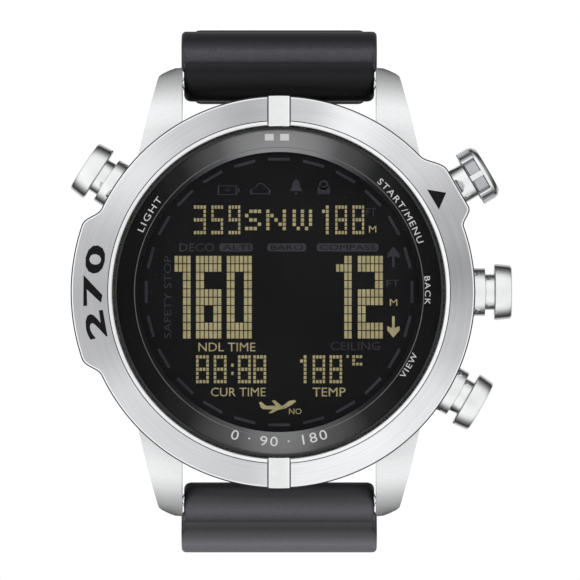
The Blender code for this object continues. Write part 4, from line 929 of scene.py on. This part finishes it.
pusherSizes = {
    "tubeStart": 19.65, "collarStart": 23.4, "tubeEnd": 25.6, "shank": 2.5, "collar": 3.0, "bore": 1.06,
    "well": 2.35, "wellFloor": 22.0, "groove": 1.9, "grooveLow": 20.4, "grooveHigh": 21.4,
    "hub": 2.25, "hubStart": 24.9, "stem": 1.0, "stemEnd": 18.25, "clipLow": 19.1, "clipHigh": 19.55, "neck": 0.75,
    "capStart": 26.7, "capEnd": 28.9, "capNear": 3.525, "capFar": 3.33,
    "crownStart": 27.45, "crownEnd": 30.05, "crownRadius": 3.525, "crownBars": 8, "barHeight": 0.42, "barShare": 0.26,
    "coil": 1.7, "wire": 0.2, "coilTurns": 3, "coilGap": 0.1, "travel": 1.0,
}


def stemCorners():
    s = pusherSizes
    return [(s["hub"], s["hubStart"], 0.1), (s["stem"], s["hubStart"], 0), (s["stem"], s["clipHigh"], 0),
            (s["neck"], s["clipHigh"], 0), (s["neck"], s["clipLow"], 0), (s["stem"], s["clipLow"], 0),
            (s["stem"], s["stemEnd"], 0.1), (0, s["stemEnd"], 0)]


def makeButton(name):
    s = pusherSizes
    if name != "start":
        corners = [(0, s["capEnd"], 0), (s["capFar"], s["capEnd"], 0.35), (s["capNear"], s["capStart"] + 0.1, 0.12),
                   (s["capNear"] - 0.2, s["capStart"], 0), (s["hub"], s["capStart"], 0)]
        bm = turned(corners + stemCorners(), 96, closed=False)
    else:
        core = s["crownRadius"] - s["barHeight"]
        rim = s["crownRadius"] - 0.08
        corners = [(0, s["crownEnd"], 0), (rim - 0.55, s["crownEnd"], 0.1), (rim, s["crownEnd"] - 0.5, 0.08),
                   (rim, s["crownEnd"] - 0.85, 0.05), (core, s["crownEnd"] - 0.95, 0),
                   (core, s["crownStart"] + 0.3, 0.05), (core - 0.35, s["crownStart"], 0.08),
                   (s["hub"], s["crownStart"], 0)]
        bm = turned(corners + stemCorners(), 96, closed=False)
        bars = []
        half = math.radians(360 / s["crownBars"] * s["barShare"] / 2) * s["crownRadius"]
        for step in range(s["crownBars"]):
            bar = block((core - 0.6, -half, s["crownStart"] + 0.08),
                        (s["crownRadius"], half, s["crownEnd"] - 0.8), 0.1, 3)
            bars.append(moved(bar, Matrix.Rotation(2 * math.pi * step / s["crownBars"], 4, "Z")))
        bm = combined(bm, bars, "UNION")
    place = pusherPlace(name)

    def finish(middle, normal):
        local = place.inverted() @ middle
        # the crown's hollows between its bars take the darker steel: painted shade
        paintedShadeHollow = math.hypot(local.x, local.y) < s["crownRadius"] - 0.16
        return 1 if name == "start" and paintedShadeHollow and s["crownStart"] < local.z < s["crownEnd"] - 0.82 else 0

    makePiece(name + "_button_turned", moved(bm, place), [polishedSteel, paintedShadeSteel], body=name + "_pusher",
              stands=[name + "_button"], sharpAngle=40, choose=finish)


def makeTube(name):
    s = pusherSizes
    bm = turned([
        (s["collar"], s["tubeEnd"], 0.15), (s["collar"], s["collarStart"], 0.1), (s["shank"], s["collarStart"], 0),
        (s["shank"], s["tubeStart"], 0.1), (s["bore"], s["tubeStart"], 0), (s["bore"], s["grooveLow"], 0),
        (s["groove"], s["grooveLow"], 0), (s["groove"], s["grooveHigh"], 0), (s["bore"], s["grooveHigh"], 0),
        (s["bore"], s["wellFloor"], 0), (s["well"], s["wellFloor"], 0), (s["well"], s["tubeEnd"], 0.05),
    ], 80)
    makePiece(name + "_tube_turned", moved(bm, pusherPlace(name)), [polishedSteel], stands=[name + "_tube"],
              sharpAngle=40)


def makeSpring(name):
    # the return spring, which shortens by the button's travel
    s = pusherSizes
    low, high = s["wellFloor"] + s["coilGap"], s["hubStart"] - s["coilGap"]
    steps = 24 * s["coilTurns"]
    bm = bmesh.new()
    bmesh.ops.create_circle(bm, cap_ends=True, segments=12, radius=s["wire"])
    moved(bm, Matrix.Translation((s["coil"], 0, low + s["wire"])) @ Matrix.Rotation(math.pi / 2, 4, "X"))
    bmesh.ops.spin(bm, geom=bm.verts[:] + bm.edges[:] + bm.faces[:], cent=(0, 0, 0), axis=(0, 0, 1),
                   dvec=(0, 0, (high - low - 2 * s["wire"]) / steps), angle=2 * math.pi * s["coilTurns"], steps=steps)
    bmesh.ops.holes_fill(bm, edges=[edge for edge in bm.edges if edge.is_boundary])
    bmesh.ops.recalc_face_normals(bm, faces=bm.faces)
    piece = makePiece(name + "_spring_coil", moved(bm, pusherPlace(name)), [springWire], stands=[name + "_spring"],
                      sharpAngle=50)
    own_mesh(piece)


for pusher in caseSizes["pushers"]:
    makeButton(pusher)
    makeTube(pusher)
    makeSpring(pusher)
print("pushers done")


# ---- caseback and screws

backSizes = {
    "crown": 14.0, "slope": 15.2, "rimDepth": 0.95, "rim": 22.2, "inside": 2.1,
    "spigot": 18.7, "spigotInner": 17.2, "spigotTop": 3.4,
    "headRadius": 1.1, "headDepth": 0.5, "thread": 0.7, "screwEnd": 4.45, "slotWidth": 0.35, "slotDepth": 0.25,
    "portRadius": 0.4, "portCircle": 0.8, "portY": -12.0, "portAngles": (77, 197, 317),
}


def makeBack():
    s = backSizes
    c = caseSizes
    bm = turned([
        (0, s["inside"], 0), (s["spigotInner"], s["inside"], 0), (s["spigotInner"], s["spigotTop"], 0),
        (s["spigot"], s["spigotTop"], 0.1), (s["spigot"], s["inside"], 0), (s["rim"], s["inside"], 0),
        (s["rim"], s["rimDepth"], 0.1), (18.0, s["rimDepth"], 0), (17.9, s["rimDepth"] + 0.12, 0),
        (17.7, s["rimDepth"] + 0.12, 0), (17.6, s["rimDepth"], 0), (s["slope"], s["rimDepth"], 0.1),
        (s["crown"], 0, 0.15), (8.2, 0, 0), (8.1, 0.1, 0), (7.9, 0.1, 0), (7.8, 0, 0), (0, 0, 0),
    ], 200, closed=False)
    tools = []
    head = s["rimDepth"] + s["headDepth"]
    for angle in c["screwAngles"]:
        x, y = polar(c["screwCircle"], angle)
        hole = turned([(0, s["inside"] + 1, 0), (c["thread"], s["inside"] + 1, 0), (c["thread"], head, 0),
                       (s["headRadius"] + 0.1, head, 0), (s["headRadius"] + 0.1, 0, 0), (0, 0, 0)], 40, closed=False)
        tools.append(moved(hole, Matrix.Translation((x, y, 0))))
    for angle in s["portAngles"]:
        x, y = polar(s["portCircle"], angle)
        tools.append(moved(rod(s["portRadius"], -1, s["inside"] + 1, 24), Matrix.Translation((x, y + s["portY"], 0))))
    bm = combined(bm, tools)

    def finish(middle, normal):
        radius = math.hypot(middle.x, middle.y)
        return 0 if normal.z < -0.95 and radius > 15.0 or normal.z < -0.95 and radius < 14.0 else 1

    makePiece("caseback_turned", bm, [brushedBackSteel, polishedSteel], stands=["caseback"],
              choose=finish)
    for index, angle in enumerate(c["screwAngles"]):
        x, y = polar(c["screwCircle"], angle)
        bm = turned([(0, s["screwEnd"], 0), (s["thread"], s["screwEnd"], 0.1), (s["thread"], head - 0.05, 0),
                     (s["headRadius"], head - 0.05, 0), (s["headRadius"], s["rimDepth"] + 0.05, 0.12),
                     (0, s["rimDepth"] + 0.05, 0)], 40, closed=False)
        half = s["slotWidth"] / 2
        slot = block((-half, -2, 0), (half, 2, s["rimDepth"] + 0.05 + s["slotDepth"]))
        bm = combined(bm, [moved(slot, Matrix.Rotation(math.radians(20 + 47 * index), 4, "Z"))])
        makePiece(f"screw_{index + 1}", moved(bm, Matrix.Translation((x, y, 0))), [polishedSteel],
                  stands=[f"caseback_screw_{index + 1}"])


makeBack()
print("caseback done")


# ---- strap halves

strapSizes = {
    "halfThickness": 1.7, "barrel": 2.2, "groove": 2.05, "ribEnd": 8.5, "ribRise": 0.7, "corner": 0.55,
    "endRound": 1.5, "heading": 40.0, "width": 24.4, "between": 23.7, "endWidth": 19.9, "taperShare": 0.62,
    "upperRuns": ((2.5, 0.0), (7.0, 50.0), (12.0, 13.0), (2.5, 0.0), (12.0, -13.0), (41.5, 0.0)),
    "lowerRuns": ((2.5, 0.0), (7.0, 50.0), (111.0, 0.0)),
    "barBore": 0.96, "buckleBore": 0.81, "buckleBarrel": 1.8,
    "holes": 9, "holePitch": 6.0, "holeFirst": 14.0, "holeLength": 3.6, "holeWidth": 2.6,
    "tongueHalf": 1.4, "tongueSlot": 4.5,
    "endStart": -0.3, "endReach": 1.9, "start": -2.19, "boreReach": 13.5,
    "keeperWall": 1.0, "keeperHeadroom": 0.3, "keeperLength": 5.0, "keeperGap": 0.4, "keeperFixed": 12.0,
    "keeperSliding": 26.0, "keeperCorner": 1.1, "keeperFillet": 0.25, "keeperRim": 0.22,
}


def runLength(runs):
    return sum(length for length, turn in runs)


def walk(runs, distance):
    # (out, back, heading) of the strap's middle line at a distance from its bar
    heading = math.radians(strapSizes["heading"])
    if distance < 0:
        return distance * math.cos(heading), distance * math.sin(heading), heading
    out = back = 0.0
    for length, turn in runs:
        part = min(distance, length)
        bend = math.radians(turn) * part / length
        if turn:
            radius = length / math.radians(turn)
            out += radius * (math.sin(heading + bend) - math.sin(heading))
            back += radius * (math.cos(heading) - math.cos(heading + bend))
        else:
            out += part * math.cos(heading)
            back += part * math.sin(heading)
        heading += bend
        distance -= part
        if distance <= 0:
            return out, back, heading
    return out + distance * math.cos(heading), back + distance * math.sin(heading), heading


def outerHeight(distance):
    s = strapSizes
    if distance < 0:
        return math.sqrt(max(s["barrel"] ** 2 - distance ** 2, 0.01))
    if distance < s["groove"]:
        return s["halfThickness"] + (s["barrel"] - s["halfThickness"]) * math.sqrt(1 - (distance / s["groove"]) ** 2)
    half = (s["ribEnd"] - s["groove"]) / 2
    share = (distance - s["groove"] - half) / half
    return s["halfThickness"] + s["ribRise"] * math.sqrt(max(0.0, 1 - share * share))


def innerHeight(distance):
    s = strapSizes
    if distance < 0:
        return math.sqrt(max(s["barrel"] ** 2 - distance ** 2, 0.01))
    return s["barrel"] + (s["halfThickness"] - s["barrel"]) * eased(distance / (2 * s["groove"]))


def halfWidth(distance, length):
    s = strapSizes
    if distance < s["endStart"]:
        share = min(1.0, (s["endStart"] - distance) / s["endReach"])
        return s["between"] / 2 - s["endRound"] * (1 - math.sqrt(1 - share * share))
    if distance < s["ribEnd"]:
        return (s["between"] + (s["width"] - s["between"]) * eased((distance - 1.5 * s["groove"]) / 0.8)) / 2
    share = (distance - s["ribEnd"]) / (s["taperShare"] * length - s["ribEnd"])
    return (s["width"] + (s["endWidth"] - s["width"]) * eased(share)) / 2


def strapFrame(runs, distance, side):
    # the strap's middle line: x across, y onward, z out of the face that shows (mirrored on the lower half)
    out, back, heading = walk(runs, distance)
    onward = Vector((0, math.sin(heading), side * math.cos(heading)))
    outward = Vector((0, -math.cos(heading), side * math.sin(heading)))
    place = Matrix.Identity(4)
    across = onward.cross(outward)
    for row in range(3):
        place[row][0], place[row][1], place[row][2] = across[row], onward[row], outward[row]
    place.translation = Vector((0, back - caseSizes["barDepth"], side * (caseSizes["barOut"] + out)))
    return place


def strapBlank(start, end, stations):
    # a flat bar with rounded long edges, cut across at each station
    s = strapSizes
    half = s["width"] / 2
    bm = block((-half, start, -s["halfThickness"]), (half, end, s["halfThickness"]))
    rounded(bm, edgesAlong(bm, 1), s["corner"], 4)
    for station in stations:
        bmesh.ops.bisect_plane(bm, geom=bm.verts[:] + bm.edges[:] + bm.faces[:], dist=1e-5,
                               plane_co=(0, station, 0), plane_no=(0, 1, 0))
    return bm


def bentStrap(runs, side, start, end, tipShape):
    s = strapSizes
    length = runLength(runs)
    stations = [-2.18 + 0.06 * step for step in range(12)] + [-1.4 + 0.15 * step for step in range(10)]
    stations += [0.15 * step for step in range(60)] + [9.0 + 0.75 * step for step in range(int((length - 9) / 0.75))]
    stations += [length - 6 + 0.25 * step for step in range(24)] + [length + 0.15 * step for step in range(12)]
    bm = strapBlank(start, end, [station for station in sorted(set(stations)) if start + 0.02 < station < end - 0.02])
    blank = s["width"] / 2
    for vert in bm.verts:
        x, distance, n = vert.co
        wide, outer, inner = tipShape(distance, length)
        height = outer if n > 0 else inner
        corner = min(s["corner"], 0.9 * height) / s["corner"]
        n = math.copysign(height - (s["halfThickness"] - abs(n)) * corner, n)
        x = math.copysign(wide - (blank - abs(x)) * min(1.0, wide / blank), x)
        out, back, heading = walk(runs, distance)
        vert.co = (x, back - n * math.cos(heading) - caseSizes["barDepth"],
                   side * (caseSizes["barOut"] + out + n * math.sin(heading)))
    bmesh.ops.recalc_face_normals(bm, faces=bm.faces)
    return bm


def lowerShape(distance, length):
    # down to a rounded tip over the last 6 mm
    wide = halfWidth(distance, length)
    share = (distance - (length - 6)) / 6
    if share > 0:
        wide = strapSizes["endWidth"] / 2 * (0.28 + 0.72 * math.sqrt(max(0.0, 1 - share * share)))
    return wide, outerHeight(distance), innerHeight(distance)


def upperShape(distance, length):
    # down to the barrel that holds the buckle's bar
    s = strapSizes
    outer, inner = outerHeight(distance), innerHeight(distance)
    barrel = s["buckleBarrel"]
    ahead = distance - length
    if ahead > -1.2:
        share = max(ahead, 0) / barrel
        blend = eased((ahead + 1.2) / 1.2)
        height = barrel * math.sqrt(max(0.02, 1 - share * share))
        outer = inner = s["halfThickness"] + (height - s["halfThickness"]) * (blend if ahead < 0 else 1)
    return halfWidth(distance, length), outer, inner


def makeWristPiece(name, bm, material, body, node):
    makePiece(name, bm, [material], body=body, stands=[node], place=millimetres, sharpAngle=40)


def makeStraps():
    s = strapSizes
    length = runLength(s["lowerRuns"])
    bm = bentStrap(s["lowerRuns"], -1, s["start"], length, lowerShape)
    tools = [moved(rod(s["barBore"], -s["boreReach"], s["boreReach"], 32),
                   Matrix.Translation((0, -caseSizes["barDepth"], -caseSizes["barOut"])) @ crosswise)]
    straight = (s["holeLength"] - s["holeWidth"]) / 2
    outline = []
    for sign, start in ((1, 0), (-1, 180)):
        for step in range(9):
            x, y = polar(s["holeWidth"] / 2, start + 22.5 * step)
            outline.append((x, y + sign * straight))
    for index in range(s["holes"]):
        place = strapFrame(s["lowerRuns"], length - s["holeFirst"] - s["holePitch"] * index, -1)
        tools.append(moved(plate(outline, -4, 4), place))
    for tool in tools:
        bmesh.ops.recalc_face_normals(tool, faces=tool.faces)
    makeWristPiece("strap_long_half", combined(bm, tools), paintedLightSilicone, "lower_strap", "strap_lower")
    length = runLength(s["upperRuns"])
    bm = bentStrap(s["upperRuns"], 1, s["start"], length + 0.97 * s["buckleBarrel"], upperShape)
    end = strapFrame(s["upperRuns"], length, 1)
    tools = [moved(rod(s["barBore"], -s["boreReach"], s["boreReach"], 32),
                   Matrix.Translation((0, -caseSizes["barDepth"], caseSizes["barOut"])) @ crosswise),
             moved(rod(s["buckleBore"], -12, 12, 32), end @ crosswise),
             moved(block((-s["tongueHalf"], -s["tongueSlot"], -5), (s["tongueHalf"], 4, 5)), end)]
    makeWristPiece("strap_short_half", combined(bm, tools), strapSilicone, "upper_strap", "strap_upper")


makeStraps()


def makeKeeper(name, node, body, back):
    s = strapSizes
    length = runLength(s["upperRuns"])
    distance = length - back - s["keeperLength"] / 2
    inside = halfWidth(distance, length) + s["keeperGap"]
    floor, roof = -s["halfThickness"] - 0.1, 3 * s["halfThickness"] + s["keeperHeadroom"]
    half = s["keeperLength"] / 2
    wall = s["keeperWall"]
    outer = block((-inside - wall, -half, floor - wall), (inside + wall, half, roof + wall))
    rounded(outer, edgesAlong(outer, 1), s["keeperCorner"], 6)
    hollow = block((-inside, -half - 1, floor), (inside, half + 1, roof))
    rounded(hollow, edgesAlong(hollow, 1), s["keeperFillet"], 3)
    bm = combined(outer, [hollow])
    rims = [edge for edge in bm.edges if all(abs(abs(v.co.y) - half) < 1e-3 for v in edge.verts)
            and edge.is_manifold and edge.calc_face_angle(0) > 0.7]
    rounded(bm, rims, s["keeperRim"], 3)
    makeWristPiece(name, moved(bm, strapFrame(s["upperRuns"], distance, 1)), strapSilicone, body, node)


makeKeeper("keeper_fixed_loop", "keeper_fixed", "upper_strap", strapSizes["keeperFixed"])
makeKeeper("keeper_free_loop", "keeper_sliding", "sliding_keeper", strapSizes["keeperSliding"])
print("straps done")


# ---- buckle

buckleSizes = {
    "half": 12.2, "arm": 2.0, "thick": 1.1, "heel": 1.9, "window": 10.2, "front": 2.4, "bar": 0.75, "edge": 0.3,
    "tongueRadius": 1.5, "tongueWidth": 2.4, "tongueThick": 1.0, "gap": 0.1,
}


def makeBuckle():
    s = buckleSizes
    length = runLength(strapSizes["upperRuns"])
    end = strapFrame(strapSizes["upperRuns"], length, 1)
    half, far = s["half"], s["window"] + s["front"]
    rightSide = [(half, -s["heel"]), (half, far - 2.6), (half - 0.35, far - 1.3), (half - 1.1, far - 0.4),
                 (half - 2.2, far)]
    outer = plate(rightSide + [(-x, y) for x, y in reversed(rightSide)], -s["thick"], s["thick"])
    inner = half - s["arm"]
    window = plate([(inner, -5), (inner, s["window"] - 0.6), (inner - 0.6, s["window"]), (0.6 - inner, s["window"]),
                    (-inner, s["window"] - 0.6), (-inner, -5)], -3, 3)
    bm = combined(outer, [window])
    bm.normal_update()
    sharp = [edge for edge in bm.edges if edge.is_manifold and edge.calc_face_angle(0) > 0.9]
    rounded(bm, sharp, s["edge"], 3, clamp=True)
    reach = half - 0.45
    bm = combined(bm, [moved(rod(s["bar"] + 0.06, -reach, reach, 32), crosswise)])
    makeWristPiece("buckle_frame_polished", moved(bm, end), polishedSteel, "buckle", "buckle_frame")
    low = s["thick"] + s["gap"]
    high = low + s["tongueThick"]
    outline = [polar(s["tongueRadius"], 80 + 12.5 * step) for step in range(23)]
    outline += [(3.6, low - 0.3), (s["window"] - 1, low), (far - 0.3, low), (far, low + 0.4),
                (far - 0.25, high - 0.2), (s["window"] - 1, high), (3.2, high)]
    width = s["tongueWidth"] / 2
    bm = plate(outline, -width, width, 0.18, 2)
    bm.transform(standing)
    bmesh.ops.recalc_face_normals(bm, faces=bm.faces)
    bm = combined(bm, [moved(rod(s["bar"] + 0.06, -3, 3, 32), crosswise)])
    makeWristPiece("buckle_tongue_polished", moved(bm, end), polishedSteel, "tongue", "buckle_tongue")


makeBuckle()
print("buckle done")


# ---- CAD pieces that stay, each with its own finish

finishes = {
    "zebra_strip_upper": sealRubber, "zebra_strip_lower": sealRubber, "backlight_panel": acrylicGuide,
    "module_frame": blackNylon, "main_board": solderMask, "processor_chip": chipEpoxy, "compass_sensor": chipEpoxy,
    "battery": nickelPlate, "battery_clip": sheetBrass, "piezo_buzzer": sheetBrass, "pressure_sensor": nickelPlate,
    "pressure_sensor_seal": sealRubber, "caseback_gasket": sealRubber, "spring_bar_upper": polishedSteel,
    "spring_bar_lower": polishedSteel, "buckle_bar": polishedSteel,
}
for pusher in caseSizes["pushers"]:
    finishes[pusher + "_seal"] = sealRubber
    finishes[pusher + "_clip"] = springWire
for row in ("upper", "lower"):
    for hand in ("right", "left"):
        finishes[f"bar_tip_{row}_{hand}"] = polishedSteel
for node, material in finishes.items():
    piece = nodes[node]
    while len(piece.material_slots) < 1:
        piece.data.materials.append(None)
    for slot in piece.material_slots:
        slot.link = "OBJECT"
        slot.material = material
print("carried-over pieces finished")


# ---- floor, light and camera

floorSizes = {"half": 1.5, "drop": 0.105}  # in metres; the drop lets the long strap half swing down


def makeFloor():
    # plain pale studio paper
    material, tree = newMaterial("studio_paper")
    tone = addMottle(tree, 400.0, 2.0, [(0.3, "#f6f6f6"), (0.7, "#fafafa")])
    finishMaterial(material, {"Roughness": 0.9, "Specular IOR Level": 0.0, "Emission Color": linearColour("#ffffff"),
                              "Emission Strength": 0.6}, {"Base Color": tone})
    bm = bmesh.new()
    bmesh.ops.create_grid(bm, x_segments=1, y_segments=1, size=floorSizes["half"])
    bm.transform(Matrix.Translation((0, 0, cadLow.z - floorSizes["drop"])))
    mesh = bpy.data.meshes.new("studio_floor")
    bm.to_mesh(mesh)
    bm.free()
    mesh.materials.append(material)
    floor = bpy.data.objects.new("studio_floor", mesh)
    bpy.context.scene.collection.objects.link(floor)
    floor.visible_glossy = False


def makeWorld():
    # a soft studio round the object: bright in front, dark behind it to the sides and mid-grey straight behind,
    # a little brighter on the left; the camera itself sees white
    world = bpy.data.worlds.new("studio")
    bpy.context.scene.world = world
    world.use_nodes = True
    tree = world.node_tree
    tree.nodes.clear()
    place = addNode(tree, "TexCoord")
    split = addNode(tree, "SeparateXYZ", {}, {"Vector": place.outputs["Generated"]})
    ahead = addNode(tree, "MapRange", {"From Min": 1.0, "From Max": -1.0}, {"Value": split.outputs["Y"]})
    byDepth = addRamp(tree, ahead.outputs["Result"],
                      [(0.0, 0.8), (0.1, 0.6), (0.17, 0.1), (0.24, 0.04), (0.38, 0.2), (0.5, 0.5), (0.62, 0.95),
                       (0.75, 1.18), (0.93, 1.18), (1.0, 1.1)])
    side = addNode(tree, "MapRange", {"From Min": -1.0, "From Max": 1.0, "To Min": 1.1, "To Max": 0.95},
                   {"Value": split.outputs["X"]})
    tone = addNode(tree, "VectorMath", {"operation": "SCALE"},
                   {0: byDepth.outputs["Color"], "Scale": side.outputs["Result"]})
    studio = addNode(tree, "Background", {"Strength": 0.95}, {"Color": tone.outputs["Vector"]})
    white = addNode(tree, "Background", {"Color": (1, 1, 1, 1), "Strength": 1.02})
    path = addNode(tree, "LightPath")
    mixed = addNode(tree, "MixShader", {},
                    {0: path.outputs["Is Camera Ray"], 1: studio.outputs[0], 2: white.outputs[0]})
    addNode(tree, "OutputWorld", {}, {"Surface": mixed.outputs[0]})


lights = {  # place in metres, size, power in watts
    "upper_left_softbox": ((-0.45, -0.55, 0.55), 0.45, 2.4),
    "upper_right_softbox": ((0.45, -0.55, 0.5), 0.4, 1.5),
    "lower_left_softbox": ((-0.4, -0.55, -0.02), 0.4, 1.6),
    "lower_right_softbox": ((0.42, -0.55, 0.0), 0.4, 1.4),
}


def makeLights():
    for name, (place, size, power) in lights.items():
        light = bpy.data.lights.new(name, "AREA")
        light.shape = "DISK"
        light.size = size
        light.energy = power
        holder = bpy.data.objects.new(name, light)
        bpy.context.scene.collection.objects.link(holder)
        holder.location = place
        holder.rotation_euler = (-Vector(place)).to_track_quat("-Z", "Y").to_euler()
        holder.visible_glossy = False


cameraSizes = {"middle": (0.00135, 0.00025), "distance": 1.2, "lens": 596}


def makeCamera():
    s = cameraSizes
    camera = bpy.data.objects.new("camera", bpy.data.cameras.new("camera"))
    bpy.context.scene.collection.objects.link(camera)
    camera.location = (s["middle"][0], -s["distance"], s["middle"][1])
    camera.rotation_euler = (math.pi / 2, 0, 0)
    camera.data.lens = s["lens"]
    camera.data.sensor_width = 36
    camera.data.clip_start = 0.01
    bpy.context.scene.camera = camera


makeFloor()
makeWorld()
makeLights()
makeCamera()
bpy.context.scene.view_settings.view_transform = "Standard"
print("studio done")
